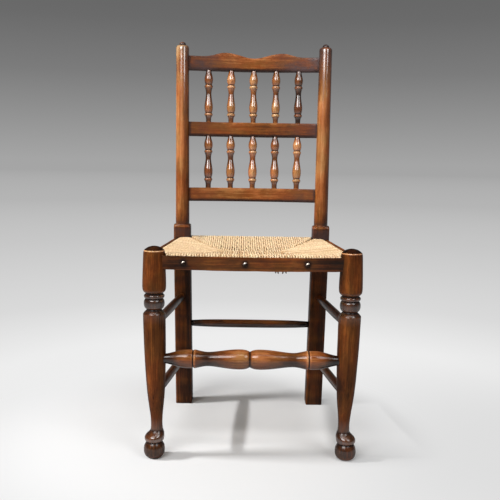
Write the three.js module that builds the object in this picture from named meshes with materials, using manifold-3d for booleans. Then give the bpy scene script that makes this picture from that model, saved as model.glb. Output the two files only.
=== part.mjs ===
// A spindle back chair with a rush seat. Millimetres, +Z up, the front of the chair towards -Y.
// Left and right are as seen from the front.
import * as THREE from "three";
import { mergeVertices } from "three/addons/utils/BufferGeometryUtils.js";
import Module from "manifold-3d";

const wasm = await Module();
wasm.setup();

// The whole chair
const chairHeight = 976.5; // floor to the top of the finials
const seatHeight = 456.7; // floor to the top edge of the front strip
const frontLegSpacing = 428; // between the axes of the front legs
const rearPostSpacing = 355; // between the axes of the rear posts, on the floor
const rearPostSplay = 16; // how far each rear post leans outward by its top
const seatDepth = 367.2; // from the front leg axes to the rear post axes
const backRake = 75; // how far the top of a rear post lies behind its foot
const fit = 0.3; // gap between pieces that touch

// Front legs
const hornHeight = 19; // top of the leg above the front strip
const footHeight = 37;
const footRadius = 23.4;
const padHeight = 25;
const padRadius = 21.7;
const ankleRadius = 12.9;
const ankleOffset = 5; // the shaft is turned off centre, towards the middle of the chair
const shaftRadius = 24.7; // at the upper end of the shaft
const collarHeight = 47;
const collarRadius = 22.8;
const blockHeight = 91;
const blockRadius = 25.8;
const domeHeight = 11.3;
const legSides = 16;

// Rear posts
const postWidth = 43.5; // square part, below the seat and through it
const postBlockRise = 31.3; // top of the square part above the seat
const postShoulder = 6; // height over which the square turns into the round
const postFootChamfer = 1.5;
const postRadius = 18.3; // round part, at its lower end
const postTopRadius = 17.4;
const finialHeight = 15.5;
const bendBelowSeat = 46.7; // where the backward bend starts
const bendLength = 80;

// Back rails
const crestDrop = 74.8; // from the top of the chair to the crest's bottom edge
const crestHeight = 48.3; // to the top of the humps
const middleRailHeight = 37.5;
const lowerRailHeight = 35.3;
const lowerRailRise = 95.2; // of its bottom edge above the seat
const railBow = 18; // how far the middle of a rail lies behind its ends
const railThickness = 17; // in the middle
const railEndThickness = 13;
const railEdge = 2.5; // bevel along the edges
const railDepthInPost = 16.5;

// Spindles
const lowerSpindleRadius = 11.8;
const upperSpindleRadius = 11.4;
const spindleTenonRadius = 5;
const spindleTenonLength = 12;
const lowerRowShare = 0.499; // of the height that both rows of spindles fill
const spindlesInRow = 5;
const spindleSides = 8;

// Stretchers
const frontStretcherHeight = 226;
const frontStretcherRadius = 22;
const frontStretcherShift = -3.5; // its turning is centred this far off the middle of the chair
const frontStretcherSides = 14;
const rearStretcherHeight = 220.5;
const rearStretcherRadius = 11;
const upperSideStretcherFront = 302;
const upperSideStretcherRear = 298.5;
const lowerSideStretcherFront = 142;
const lowerSideStretcherRear = 129;
const sideStretcherRadius = 10.5;
const stretcherTenonDepth = 18;
const stretcherSides = 10;

// Seat rails, inside the rush
const seatRailThickness = 13;
const seatRailHeight = 23.2;
const seatRailTenonRadius = 6.3;
const seatRailTenonStop = 9; // from the end of a tenon to the axis of its leg or post

// Rush
const rushWrap = 3.6; // thickness beside and under a seat rail
const rushCrown = 3.5; // thickness over a seat rail
const rushSag = 15; // how far the middle lies below the top over the rails
const rushMiddleThickness = 14;

// Edge strips and nails
const stripThickness = 4.5;
const stripHeight = 30;
const stripEdge = 1.2; // bevel along the edges
const stripSag = 2; // of the front strip, in its middle
const nailHeadRadius = 5;
const nailHeadHeight = 3;
const nailShankRadius = 1.2;
const nailGrip = 7; // length of the nail in the seat rail
const nailSides = 8;

// Turned outlines: [share of the length, share of the radius], from the lower end
const footShares = [
  [0, 0.41],
  [0.03, 0.6],
  [0.09, 0.78],
  [0.18, 0.9],
  [0.32, 0.975],
  [0.5, 1],
  [0.68, 0.98],
  [0.81, 0.91],
  [0.92, 0.82],
  [1, 0.78],
];
const padShares = [
  [0.1, 0.93],
  [0.24, 0.995],
  [0.48, 0.99],
  [0.64, 0.93],
  [0.76, 0.83],
  [0.88, 0.725],
];
// Of the shaft, the second share is of the way from the ankle's radius to the shaft's
const shaftShares = [
  [0, 0.12],
  [0.03, 0.01],
  [0.09, 0],
  [0.15, 0.1],
  [0.24, 0.36],
  [0.34, 0.58],
  [0.46, 0.73],
  [0.7, 0.92],
  [1, 1],
];
const collarShares = [
  [0.05, 1.05],
  [0.11, 0.94],
  [0.17, 0.79],
  [0.23, 0.72],
  [0.27, 0.77],
  [0.33, 0.88],
  [0.43, 0.96],
  [0.6, 1],
  [0.7, 0.95],
  [0.74, 0.86],
  [0.78, 0.96],
  [0.85, 1],
  [0.93, 0.94],
];
const blockShares = [
  [0, 0.72],
  [0.02, 0.83],
  [0.05, 0.94],
  [0.1, 1],
  [0.3, 0.995],
  [0.6, 0.955],
  [1, 0.9],
];
const domeShares = [
  [0.13, 0.875],
  [0.4, 0.795],
  [0.7, 0.62],
  [0.92, 0.32],
  [1, 0.05],
];
const finialShares = [
  [0, 1],
  [0.2, 0.965],
  [0.37, 0.84],
  [0.5, 0.6],
  [0.56, 0.42],
  [0.64, 0.46],
  [0.8, 0.44],
  [0.93, 0.29],
  [1, 0.06],
];
const lowerSpindleShares = [
  [0, 0.68],
  [0.11, 0.71],
  [0.178, 0.92],
  [0.205, 0.81],
  [0.24, 0.9],
  [0.32, 1],
  [0.45, 0.83],
  [0.56, 0.67],
  [0.615, 0.69],
  [0.672, 0.87],
  [0.712, 0.92],
  [0.74, 0.82],
  [0.8, 0.96],
  [0.87, 0.81],
  [1, 0.57],
];
const upperSpindleShares = [
  [0, 0.66],
  [0.07, 0.69],
  [0.15, 0.96],
  [0.177, 0.845],
  [0.2, 0.93],
  [0.265, 1],
  [0.4, 0.85],
  [0.5, 0.71],
  [0.575, 0.71],
  [0.635, 0.86],
  [0.685, 0.96],
  [0.735, 0.85],
  [0.79, 1],
  [0.86, 0.88],
  [1, 0.6],
];
// Of the front stretcher, from the middle of its turning to the leg
const frontStretcherShares = [
  [0, 0.8],
  [0.03, 0.91],
  [0.07, 0.98],
  [0.13, 1],
  [0.22, 0.965],
  [0.33, 0.85],
  [0.43, 0.735],
  [0.5, 0.705],
  [0.56, 0.76],
  [0.63, 0.9],
  [0.655, 0.93],
  [0.672, 0.82],
  [0.69, 0.91],
  [0.74, 0.935],
  [0.81, 0.87],
  [0.9, 0.67],
  [1, 0.49],
];
// Of the plain stretchers, from the leg to the middle
const plainStretcherShares = [
  [0, 0.72],
  [0.18, 0.86],
  [0.37, 0.94],
  [0.62, 0.985],
];
const nailHeadShares = [
  [0, 1],
  [0.3, 0.97],
  [0.75, 0.68],
  [1, 0.12],
];
// Top edge of the crest: [share of the way from the middle to the post, share of its height]
const crestTopShares = [
  [0, 0.715],
  [0.12, 0.775],
  [0.22, 0.89],
  [0.31, 0.965],
  [0.39, 1],
  [0.46, 0.985],
  [0.54, 0.9],
  [0.61, 0.82],
  [0.68, 0.785],
  [0.84, 0.785],
  [1, 0.785],
];
const straightTopShares = [
  [0, 1],
  [0.25, 1],
  [0.5, 1],
  [0.75, 1],
  [1, 1],
];
const bendShares = [0, 0.25, 0.5, 0.75]; // places of the rear post's rings along its bend
const frontStripShares = [-1, -0.66, -0.33, 0, 0.33, 0.66, 1]; // of the way to a leg's axis
const spindlePitchShare = 0.318; // of the way from the middle of the back to a post
const postCornerShare = 0.22; // corner rounding, of half the post's width
// The seams between the four rush panels meet at two points: places, of half the width and depth
const seamMeetingWidthShare = 0.29;
const seamMeetingDepthShare = -0.03;
const frontNailShares = [-0.7, -0.08, 0.55]; // of the way from the middle to a leg's axis
const sideNailShares = [-0.6, 0, 0.6]; // of half the seat's depth

// Sizes that follow
const frontLegX = frontLegSpacing / 2;
const frontY = -seatDepth / 2;
const rearY = seatDepth / 2;
const legHeight = seatHeight + hornHeight;
const blockTop = legHeight - domeHeight;
const blockBottom = blockTop - blockHeight;
const shaftTop = blockBottom - collarHeight;
const ankleBottom = footHeight + padHeight;
const bendStart = seatHeight - bendBelowSeat;
const rakeSlope = backRake / (chairHeight - bendStart - bendLength / 2);
const rakeAngle = Math.atan(rakeSlope);
const postBlockTop = seatHeight + postBlockRise;
const crestBottom = chairHeight - crestDrop;
const lowerRailBottom = seatHeight + lowerRailRise;
const lowerRailTop = lowerRailBottom + lowerRailHeight;
const spindleRows = crestBottom - lowerRailTop - middleRailHeight; // the height of both rows
const middleRailBottom = lowerRailTop + lowerRowShare * spindleRows;
const middleRailTop = middleRailBottom + middleRailHeight;
const seatRailMiddle = seatHeight - seatRailHeight / 2;
const rushReach = seatRailThickness / 2 + rushWrap; // from a seat rail's middle to the rush's outside
const stripMiddleReach = rushReach + fit + stripThickness / 2;
const stripOuterReach = rushReach + fit + stripThickness;
const stripMiddle = seatHeight - stripHeight / 2;

const sides = { left: -1, right: 1 };
const wood = { color: "#5a2d17", roughness: 0.35, metalness: 0 };
const paleWood = { color: "#a9825a", roughness: 0.8, metalness: 0 };
const rush = { color: "#d8bb85", roughness: 0.85, metalness: 0 };
const iron = { color: "#5b4a3c", roughness: 0.4, metalness: 0.8 };

// Solids

// A closed surface as a solid that can be cut.
function solidOf(geometry) {
  const bare = geometry.clone();
  bare.deleteAttribute("normal");
  bare.deleteAttribute("uv");
  const merged = mergeVertices(bare);
  const corners = merged.index.array;
  const kept = [];
  for (let i = 0; i < corners.length; i += 3) {
    const [a, b, c] = corners.slice(i, i + 3);
    if (a !== b && b !== c && c !== a) kept.push(a, b, c);
  }
  return new wasm.Manifold(
    new wasm.Mesh({
      numProp: 3,
      vertProperties: merged.attributes.position.array,
      triVerts: new Uint32Array(kept),
    }),
  );
}

function geometryOf(solid) {
  const mesh = solid.getMesh();
  const shared = new THREE.BufferGeometry();
  shared.setAttribute("position", new THREE.BufferAttribute(mesh.vertProperties, 3));
  shared.setIndex(new THREE.BufferAttribute(mesh.triVerts, 1));
  const geometry = shared.toNonIndexed();
  geometry.computeVertexNormals();
  return geometry;
}

// A geometry with the place that it takes in the chair.
function placed(geometry, place = new THREE.Matrix4()) {
  return { geometry, place };
}

// The piece with the other pieces' solids taken away.
function cut(piece, cutters) {
  const home = piece.place.clone().invert();
  let body = solidOf(piece.geometry);
  for (const cutter of cutters) {
    const move = home.clone().multiply(cutter.place);
    body = body.subtract(solidOf(cutter.geometry).transform(move.elements));
  }
  return placed(geometryOf(body), piece.place);
}

// A frame at one point, with its Z axis towards another. Its Y axis is as near upright as can be,
// or points backward where the Z axis itself stands upright.
function along(from, to) {
  const forward = to.clone().sub(from).normalize();
  const stands = Math.abs(forward.z) > Math.SQRT1_2;
  const upright = stands ? new THREE.Vector3(0, 1, 0) : new THREE.Vector3(0, 0, 1);
  const across = upright.cross(forward).normalize();
  const up = forward.clone().cross(across);
  return new THREE.Matrix4().makeBasis(across, up, forward).setPosition(from);
}

// An outline's stations [height, radius] from its shares.
function stations(shares, start, length, radius) {
  return shares.map(([alongShare, radiusShare]) => [start + alongShare * length, radiusShare * radius]);
}

// The outline moved outward by a gap, for cutting the hole that a piece fits in.
function grown(outline, by) {
  const last = outline.length - 1;
  return outline.map(([height, radius], i) => {
    const shift = i === 0 ? -by : i === last ? by : 0;
    return [height + shift, radius + by];
  });
}

// A turned solid round the Z axis.
function turned(outline, sideCount) {
  const points = outline.map(([height, radius]) => new THREE.Vector2(radius, height));
  points.unshift(new THREE.Vector2(0, points[0].y));
  points.push(new THREE.Vector2(0, points.at(-1).y));
  return new THREE.LatheGeometry(points, sideCount).rotateX(Math.PI / 2);
}

// A closed surface over rings of equally many points, which run anticlockwise
// as seen from the end that the rings run towards.
function skin(rings) {
  const count = rings[0].length;
  const points = rings.flat();
  const faces = [];
  for (let j = 0; j + 1 < rings.length; j++) {
    for (let i = 0; i < count; i++) {
      const a = j * count + i;
      const b = j * count + ((i + 1) % count);
      faces.push(a, b, b + count, a, b + count, a + count);
    }
  }
  const middleOf = (ring) =>
    ring.reduce((sum, p) => sum.add(p), new THREE.Vector3()).divideScalar(count);
  const firstMiddle = points.push(middleOf(rings[0])) - 1;
  const lastMiddle = points.push(middleOf(rings.at(-1))) - 1;
  const lastRing = (rings.length - 1) * count;
  for (let i = 0; i < count; i++) {
    const next = (i + 1) % count;
    faces.push(firstMiddle, next, i);
    faces.push(lastMiddle, lastRing + i, lastRing + next);
  }
  const geometry = new THREE.BufferGeometry().setFromPoints(points);
  geometry.setIndex(faces);
  return geometry;
}

// A rectangle with bevelled corners, as eight [across, up] pairs.
function bevelled(halfAcross, low, high, bevel) {
  return [
    [-halfAcross, low + bevel],
    [bevel - halfAcross, low],
    [halfAcross - bevel, low],
    [halfAcross, low + bevel],
    [halfAcross, high - bevel],
    [halfAcross - bevel, high],
    [bevel - halfAcross, high],
    [-halfAcross, high - bevel],
  ];
}

// Places that several pieces share

// How far the back lies behind the rear posts' feet at a height.
function lean(z) {
  const past = z - bendStart;
  if (past <= 0) return 0;
  if (past < bendLength) return (rakeSlope * past ** 2) / (2 * bendLength);
  return rakeSlope * (past - bendLength / 2);
}

function postX(z) {
  return rearPostSpacing / 2 + (rearPostSplay * z) / chairHeight;
}

// A point on the middle surface of the bowed and raked back.
function onBack(x, z) {
  const bow = railBow * (1 - (x / postX(z)) ** 2);
  return new THREE.Vector3(x, rearY + lean(z) + bow, z);
}

// Front legs

function legOutline() {
  const shaft = shaftShares.map(([heightShare, swellShare]) => [
    ankleBottom + heightShare * (shaftTop - ankleBottom),
    ankleRadius + swellShare * (shaftRadius - ankleRadius),
  ]);
  return [
    ...stations(footShares, 0, footHeight, footRadius),
    ...stations(padShares, footHeight, padHeight, padRadius),
    ...shaft,
    ...stations(collarShares, shaftTop, collarHeight, collarRadius),
    ...stations(blockShares, blockBottom, blockHeight, blockRadius),
    ...stations(domeShares, blockTop, domeHeight, blockRadius),
  ];
}

// How far the turning is off the leg's axis at a height: all of it at the ankle,
// none in the foot, and less and less of it up the shaft.
function ankleShift(z) {
  const padTurn = THREE.MathUtils.smoothstep(z, footHeight + padHeight / 3, ankleBottom);
  const shaftFade = THREE.MathUtils.clamp((shaftTop - z) / (shaftTop - ankleBottom), 0, 1);
  return ankleOffset * padTurn * shaftFade;
}

function frontLeg(side, by = 0) {
  const geometry = turned(grown(legOutline(), by), legSides);
  const at = geometry.attributes.position;
  for (let i = 0; i < at.count; i++) {
    const shift = ankleShift(at.getZ(i));
    at.setXYZ(i, at.getX(i) - side * shift, at.getY(i) + shift, at.getZ(i));
  }
  return placed(geometry, new THREE.Matrix4().makeTranslation(side * frontLegX, frontY, 0));
}

// Rear posts

// One quarter of the post's section, square and round, as shares of half its width.
const quarterAngles = [9, 27, 45, 63, 81].map(THREE.MathUtils.degToRad);
const flatShare = Math.tan(quarterAngles[0]);
const cornerMiddleShare = 1 - postCornerShare * (1 - Math.SQRT1_2);
const squareQuarterShares = [
  [1, flatShare],
  [1, 1 - postCornerShare],
  [cornerMiddleShare, cornerMiddleShare],
  [1 - postCornerShare, 1],
  [flatShare, 1],
];
const roundQuarterShares = quarterAngles.map((angle) => [Math.cos(angle), Math.sin(angle)]);

function postRing(side, z, quarterShares, half) {
  const middle = new THREE.Vector3(side * postX(z), rearY + lean(z), z);
  const ring = [];
  for (let quarter = 0; quarter < 4; quarter++) {
    for (const [a, b] of quarterShares) {
      const point = new THREE.Vector3(a * half, b * half, 0);
      ring.push(point.applyAxisAngle(new THREE.Vector3(0, 0, 1), (quarter * Math.PI) / 2).add(middle));
    }
  }
  return ring;
}

function rearPost(side, by = 0) {
  const half = postWidth / 2 + by;
  const square = (z, reach = half) => postRing(side, z, squareQuarterShares, reach);
  const round = (z, radius) => postRing(side, z, roundQuarterShares, radius + by);
  const bend = bendShares.map((share) => square(bendStart + share * bendLength));
  const finialBottom = chairHeight - finialHeight;
  const rings = [
    square(-by, half - postFootChamfer),
    square(postFootChamfer - by),
    ...bend,
    square(postBlockTop - postShoulder / 2),
    square(postBlockTop, half - postShoulder / 4),
    round(postBlockTop + postShoulder / 4, (postRadius + postWidth / 2) / 2),
    round(postBlockTop + postShoulder / 2, postRadius),
    round(middleRailBottom, postRadius),
    round(crestBottom, postTopRadius),
    ...stations(finialShares, finialBottom, finialHeight, postTopRadius).map(([z, radius]) =>
      round(z, radius),
    ),
  ];
  return placed(skin(rings));
}

// Back rails

// Its sections stand square to the raked back and are moved backward by the bow.
function backRail(bottom, height, topShares, by = 0) {
  const middle = bottom + height / 2;
  const reach = postX(middle);
  const end = reach - postRadius + railDepthInPost + by;
  const half = topShares.map(([reachShare, heightShare]) => [
    Math.min(reachShare * reach, end),
    bottom + heightShare * height,
  ]);
  const wholeTop = [...half.slice(1).reverse().map(([x, top]) => [-x, top]), ...half];
  const upright = new THREE.Vector3(0, Math.sin(rakeAngle), Math.cos(rakeAngle));
  const backward = new THREE.Vector3(0, Math.cos(rakeAngle), -Math.sin(rakeAngle));
  const rings = wholeTop.map(([x, top]) => {
    const thickness = THREE.MathUtils.lerp(railThickness, railEndThickness, (x / reach) ** 2);
    const rise = (z) => (z - middle) / Math.cos(rakeAngle);
    const section = bevelled(thickness / 2 + by, rise(bottom) - by, rise(top) + by, railEdge);
    return section.map(([across, up]) =>
      onBack(x, middle).addScaledVector(backward, across).addScaledVector(upright, up),
    );
  });
  return placed(skin(rings));
}

const crestRail = (by) => backRail(crestBottom, crestHeight, crestTopShares, by);
const middleRail = (by) => backRail(middleRailBottom, middleRailHeight, straightTopShares, by);
const lowerRail = (by) => backRail(lowerRailBottom, lowerRailHeight, straightTopShares, by);

// Spindles

// Each stands between two rails with a tenon in both.
function spindle(place, bottom, top, shares, radius, by = 0) {
  const from = onBack(place * spindlePitchShare * postX(bottom), bottom);
  const to = onBack(place * spindlePitchShare * postX(top), top);
  const length = from.distanceTo(to);
  const body = stations(shares, fit, length - 2 * fit, radius);
  const outline = [
    [-spindleTenonLength, spindleTenonRadius],
    [fit, spindleTenonRadius],
    ...body,
    [length - fit, spindleTenonRadius],
    [length + spindleTenonLength, spindleTenonRadius],
  ];
  return placed(turned(grown(outline, by), spindleSides), along(from, to));
}

const lowerSpindle = (place, by) =>
  spindle(place, lowerRailTop, middleRailBottom, lowerSpindleShares, lowerSpindleRadius, by);
const upperSpindle = (place, by) =>
  spindle(place, middleRailTop, crestBottom, upperSpindleShares, upperSpindleRadius, by);
// The places of a row are counted from its middle spindle.
const spindlePlaces = Array.from({ length: spindlesInRow }, (_, i) => i - (spindlesInRow - 1) / 2);

// Stretchers

function frontStretcher(by = 0) {
  const legFace = frontLegX - shaftRadius;
  const half = (face) => {
    const length = Math.abs(face - frontStretcherShift);
    const direction = Math.sign(face);
    return frontStretcherShares.map(([alongShare, radiusShare]) => [
      frontStretcherShift + direction * alongShare * length,
      radiusShare * frontStretcherRadius,
    ]);
  };
  const tenonRadius = frontStretcherShares.at(-1)[1] * frontStretcherRadius;
  const tenonEnd = legFace + stretcherTenonDepth;
  const outline = [
    [-tenonEnd, tenonRadius],
    ...half(-legFace).slice(1).reverse(),
    ...half(legFace),
    [tenonEnd, tenonRadius],
  ];
  const middle = new THREE.Vector3(0, frontY, frontStretcherHeight);
  const place = along(middle, middle.clone().setX(frontLegX));
  return placed(turned(grown(outline, by), frontStretcherSides), place);
}

// A plain round stretcher between two axes. Each end narrows into its hole.
function plainStretcher(from, to, fromFace, toFace, radius, by = 0) {
  const length = from.distanceTo(to);
  const span = (length - fromFace - toFace) / 2;
  const half = stations(plainStretcherShares, 0, span, radius);
  const endRadius = half[0][1];
  const outline = [
    [fromFace - stretcherTenonDepth, endRadius],
    ...half.map(([z, r]) => [fromFace + z, r]),
    ...half.reverse().map(([z, r]) => [length - toFace - z, r]),
    [length - toFace + stretcherTenonDepth, endRadius],
  ];
  return placed(turned(grown(outline, by), stretcherSides), along(from, to));
}

function rearStretcher(by = 0) {
  const x = postX(rearStretcherHeight);
  const from = new THREE.Vector3(-x, rearY, rearStretcherHeight);
  return plainStretcher(from, from.clone().setX(x), postWidth / 2, postWidth / 2, rearStretcherRadius, by);
}

function sideStretcher(side, frontHeight, rearHeight, by = 0) {
  const from = new THREE.Vector3(side * frontLegX, frontY, frontHeight);
  const to = new THREE.Vector3(side * postX(rearHeight), rearY, rearHeight);
  return plainStretcher(from, to, shaftRadius, postWidth / 2, sideStretcherRadius, by);
}

const upperSideStretcher = (side, by) =>
  sideStretcher(side, upperSideStretcherFront, upperSideStretcherRear, by);
const lowerSideStretcher = (side, by) =>
  sideStretcher(side, lowerSideStretcherFront, lowerSideStretcherRear, by);

// Seat rails

const railQuarterShares = [
  [1, 0.35],
  [1, 0.86],
  [0.77, 1],
];
const tenonQuarterShares = [15, 45, 75]
  .map(THREE.MathUtils.degToRad)
  .map((angle) => [Math.cos(angle), Math.sin(angle)]);

// The four quarters of a section that is the same on both sides and above and below.
function fourQuarters(quarterShares, halfAcross, halfUp, z) {
  const turns = [
    (a, b) => [a, b],
    (a, b) => [-a, b],
    (a, b) => [-a, -b],
    (a, b) => [a, -b],
  ];
  return turns.flatMap((turn, i) => {
    const quarter = i % 2 ? [...quarterShares].reverse() : quarterShares;
    return quarter.map(([a, b]) => {
      const [x, y] = turn(a, b);
      return new THREE.Vector3(x * halfAcross, y * halfUp, z);
    });
  });
}

// A flat rail with a round tenon at each end, between the axes of a leg or post each.
function seatRail(from, to, fromFace, toFace, by = 0) {
  const length = from.distanceTo(to);
  const tenon = (z) =>
    fourQuarters(tenonQuarterShares, seatRailTenonRadius + by, seatRailTenonRadius + by, z);
  const body = (z) =>
    fourQuarters(railQuarterShares, seatRailThickness / 2 + by, seatRailHeight / 2 + by, z);
  const rings = [
    tenon(seatRailTenonStop - by),
    tenon(fromFace + fit - by),
    body(fromFace + fit - by),
    body(length - toFace - fit + by),
    tenon(length - toFace - fit + by),
    tenon(length - seatRailTenonStop + by),
  ];
  return placed(skin(rings), along(from, to));
}

function frontSeatRail(by = 0) {
  const from = new THREE.Vector3(-frontLegX, frontY, seatRailMiddle);
  return seatRail(from, from.clone().setX(frontLegX), blockRadius, blockRadius, by);
}

function rearSeatRail(by = 0) {
  const x = postX(seatRailMiddle);
  const from = new THREE.Vector3(-x, rearY, seatRailMiddle);
  return seatRail(from, from.clone().setX(x), postWidth / 2, postWidth / 2, by);
}

const sideRailRearX = postX(seatRailMiddle);
const sideTurn = Math.atan((frontLegX - sideRailRearX) / seatDepth); // a side rail's angle in plan

function sideSeatRail(side, by = 0) {
  const from = new THREE.Vector3(side * frontLegX, frontY, seatRailMiddle);
  const to = new THREE.Vector3(side * sideRailRearX, rearY, seatRailMiddle);
  return seatRail(from, to, blockRadius, postWidth / 2, by);
}

// Distance from the middle of the chair to a line beside a side rail, at a depth.
function besideRail(y, reach) {
  const share = (y - frontY) / seatDepth;
  return THREE.MathUtils.lerp(frontLegX, sideRailRearX, share) + reach / Math.cos(sideTurn);
}

// Rush seat

// From under the middle, outward, round the edge and back over the top to the middle:
// [share of the way inward from the outside, share of the thickness at the edge,
// share of the way down to the middle's own top or bottom]
const rushSectionShares = [
  [0.96, 0, 1],
  [0.06, 0, 0],
  [0.01, 0.05, 0],
  [0, 0.15, 0],
  [0, 0.83, 0],
  [0.01, 0.94, 0],
  [0.032, 0.99, 0],
  [0.06, 1, 0],
  [0.14, 1, 0.15],
  [0.3, 1, 0.45],
  [0.5, 1, 0.73],
  [0.72, 1, 0.93],
  [0.96, 1, 1],
];
const rushSpansAcross = 6;
const rushSpansDeep = 4;

function rushSeat() {
  const outerFront = frontY - rushReach;
  const outerRear = rearY + rushReach;
  const seamX = seamMeetingWidthShare * frontLegX;
  const seamY = seamMeetingDepthShare * rearY;
  const corners = [
    new THREE.Vector3(-besideRail(outerFront, rushReach), outerFront, 0),
    new THREE.Vector3(besideRail(outerFront, rushReach), outerFront, 0),
    new THREE.Vector3(besideRail(outerRear, rushReach), outerRear, 0),
    new THREE.Vector3(-besideRail(outerRear, rushReach), outerRear, 0),
  ];
  const seamEnds = [-seamX, seamX, seamX, -seamX].map((x) => new THREE.Vector3(x, seamY, 0));
  const edgeBottom = seatRailMiddle - seatRailHeight / 2 - rushWrap;
  const edgeTop = seatHeight + rushCrown;
  const middleTop = edgeTop - rushSag;
  const middleBottom = middleTop - rushMiddleThickness;
  const rings = rushSectionShares.map(([inShare, thickShare, middleShare]) => {
    const ring = corners.map((corner, i) => corner.clone().lerp(seamEnds[i], inShare));
    const upper = thickShare > 0.5;
    const edge = THREE.MathUtils.lerp(edgeBottom, edgeTop, thickShare);
    const z = THREE.MathUtils.lerp(edge, upper ? middleTop : middleBottom, middleShare);
    const points = [];
    ring.forEach((corner, i) => {
      const spans = i % 2 === 1 ? rushSpansDeep : rushSpansAcross;
      for (let k = 0; k < spans; k++) {
        points.push(corner.clone().lerp(ring[(i + 1) % 4], k / spans).setZ(z));
      }
    });
    return points;
  });
  return placed(skin(rings));
}

// Edge strips and nails

// A flat bar whose middle line runs through the points.
function strip(points) {
  const direction = points.at(-1).clone().sub(points[0]).setZ(0).normalize();
  const across = new THREE.Vector3(0, 0, 1).cross(direction);
  const section = bevelled(stripThickness / 2, -stripHeight / 2, stripHeight / 2, stripEdge);
  const rings = points.map((point) =>
    section.map(([a, up]) => point.clone().addScaledVector(across, a).setZ(point.z + up)),
  );
  return placed(skin(rings));
}

// Its ends run into the legs, which cut them to shape.
function frontStrip() {
  const points = frontStripShares.map((share) => {
    const sag = stripSag * (1 - share ** 2);
    return new THREE.Vector3(share * frontLegX, frontY - stripMiddleReach, stripMiddle - sag);
  });
  return strip(points.reverse());
}

function sideStrip(side) {
  const at = (y) => new THREE.Vector3(side * besideRail(y, stripMiddleReach), y, stripMiddle);
  return strip([at(frontY), at(rearY)]);
}

// A domed nail through a strip and the rush into the seat rail, with its axis pointing outward.
function nail(onFace, outward, by = 0) {
  const depth = stripThickness + rushWrap + fit + nailGrip;
  const outline = [
    [-depth, nailShankRadius / 4],
    [2 * nailShankRadius - depth, nailShankRadius],
    [fit, nailShankRadius],
    ...stations(nailHeadShares, fit, nailHeadHeight, nailHeadRadius),
  ];
  return placed(turned(grown(outline, by), nailSides), along(onFace, onFace.clone().add(outward)));
}

function frontNail(share, by) {
  const sag = stripSag * (1 - share ** 2);
  const onFace = new THREE.Vector3(share * frontLegX, frontY - stripOuterReach, stripMiddle - sag);
  return nail(onFace, new THREE.Vector3(0, -1, 0), by);
}

function sideNail(side, share, by) {
  const y = share * rearY;
  const x = side * besideRail(y, stripOuterReach);
  const onFace = new THREE.Vector3(x, y, stripMiddle);
  return nail(onFace, new THREE.Vector3(side * Math.cos(sideTurn), Math.sin(sideTurn), 0), by);
}

// The chair

const chair = new THREE.Group();

function add(name, piece, finish) {
  const mesh = new THREE.Mesh(piece.geometry, new THREE.MeshStandardMaterial(finish));
  mesh.name = name;
  mesh.applyMatrix4(piece.place);
  chair.add(mesh);
}

const frontNails = (by) => frontNailShares.map((share) => frontNail(share, by));
const sideNails = (side, by) => sideNailShares.map((share) => sideNail(side, share, by));
const lowerSpindles = (by) => spindlePlaces.map((place) => lowerSpindle(place, by));
const upperSpindles = (by) => spindlePlaces.map((place) => upperSpindle(place, by));

for (const [word, side] of Object.entries(sides)) {
  const legCutters = [
    frontSeatRail(fit),
    sideSeatRail(side, fit),
    frontStretcher(fit),
    upperSideStretcher(side, fit),
    lowerSideStretcher(side, fit),
  ];
  add(`front_leg_${word}`, cut(frontLeg(side), legCutters), wood);
  const postCutters = [
    rearSeatRail(fit),
    sideSeatRail(side, fit),
    rearStretcher(fit),
    upperSideStretcher(side, fit),
    lowerSideStretcher(side, fit),
    crestRail(fit),
    middleRail(fit),
    lowerRail(fit),
  ];
  add(`rear_post_${word}`, cut(rearPost(side), postCutters), wood);
  add(`upper_side_stretcher_${word}`, upperSideStretcher(side), wood);
  add(`lower_side_stretcher_${word}`, lowerSideStretcher(side), wood);
  add(`seat_rail_${word}`, cut(sideSeatRail(side), sideNails(side, fit)), paleWood);
  const stripCutters = [frontLeg(side, fit), rearPost(side, fit), ...sideNails(side, fit)];
  add(`edge_strip_${word}`, cut(sideStrip(side), stripCutters), wood);
  sideNails(side).forEach((piece, i) => add(`nail_${word}_${i + 1}`, piece, iron));
}

add("crest_rail", cut(crestRail(), upperSpindles(fit)), wood);
add("middle_rail", cut(middleRail(), [...lowerSpindles(fit), ...upperSpindles(fit)]), wood);
add("lower_rail", cut(lowerRail(), lowerSpindles(fit)), wood);
lowerSpindles().forEach((piece, i) => add(`lower_spindle_${i + 1}`, piece, wood));
upperSpindles().forEach((piece, i) => add(`upper_spindle_${i + 1}`, piece, wood));

add("front_stretcher", frontStretcher(), wood);
add("rear_stretcher", rearStretcher(), wood);
add("seat_rail_front", cut(frontSeatRail(), frontNails(fit)), paleWood);
add("seat_rail_rear", rearSeatRail(), paleWood);

const rushCutters = [frontSeatRail(fit), rearSeatRail(fit), ...frontNails(fit)];
for (const side of Object.values(sides)) {
  rushCutters.push(sideSeatRail(side, fit), ...sideNails(side, fit));
  rushCutters.push(frontLeg(side, fit), rearPost(side, fit));
}
add("rush_seat", cut(rushSeat(), rushCutters), rush);

add("edge_strip_front", cut(frontStrip(), [frontLeg(-1, fit), frontLeg(1, fit), ...frontNails(fit)]), wood);
frontNails().forEach((piece, i) => add(`nail_front_${i + 1}`, piece, iron));

// The origin is in the middle of the chair's box, on the floor.
const box = new THREE.Box3().setFromObject(chair, true);
const part = new THREE.Group();
part.add(chair);
chair.position.set(0, -(box.min.y + box.max.y) / 2, -box.min.z);

export default part;
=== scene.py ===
import math
import random

import bpy
import numpy as np
from mathutils import Matrix, Vector

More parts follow.
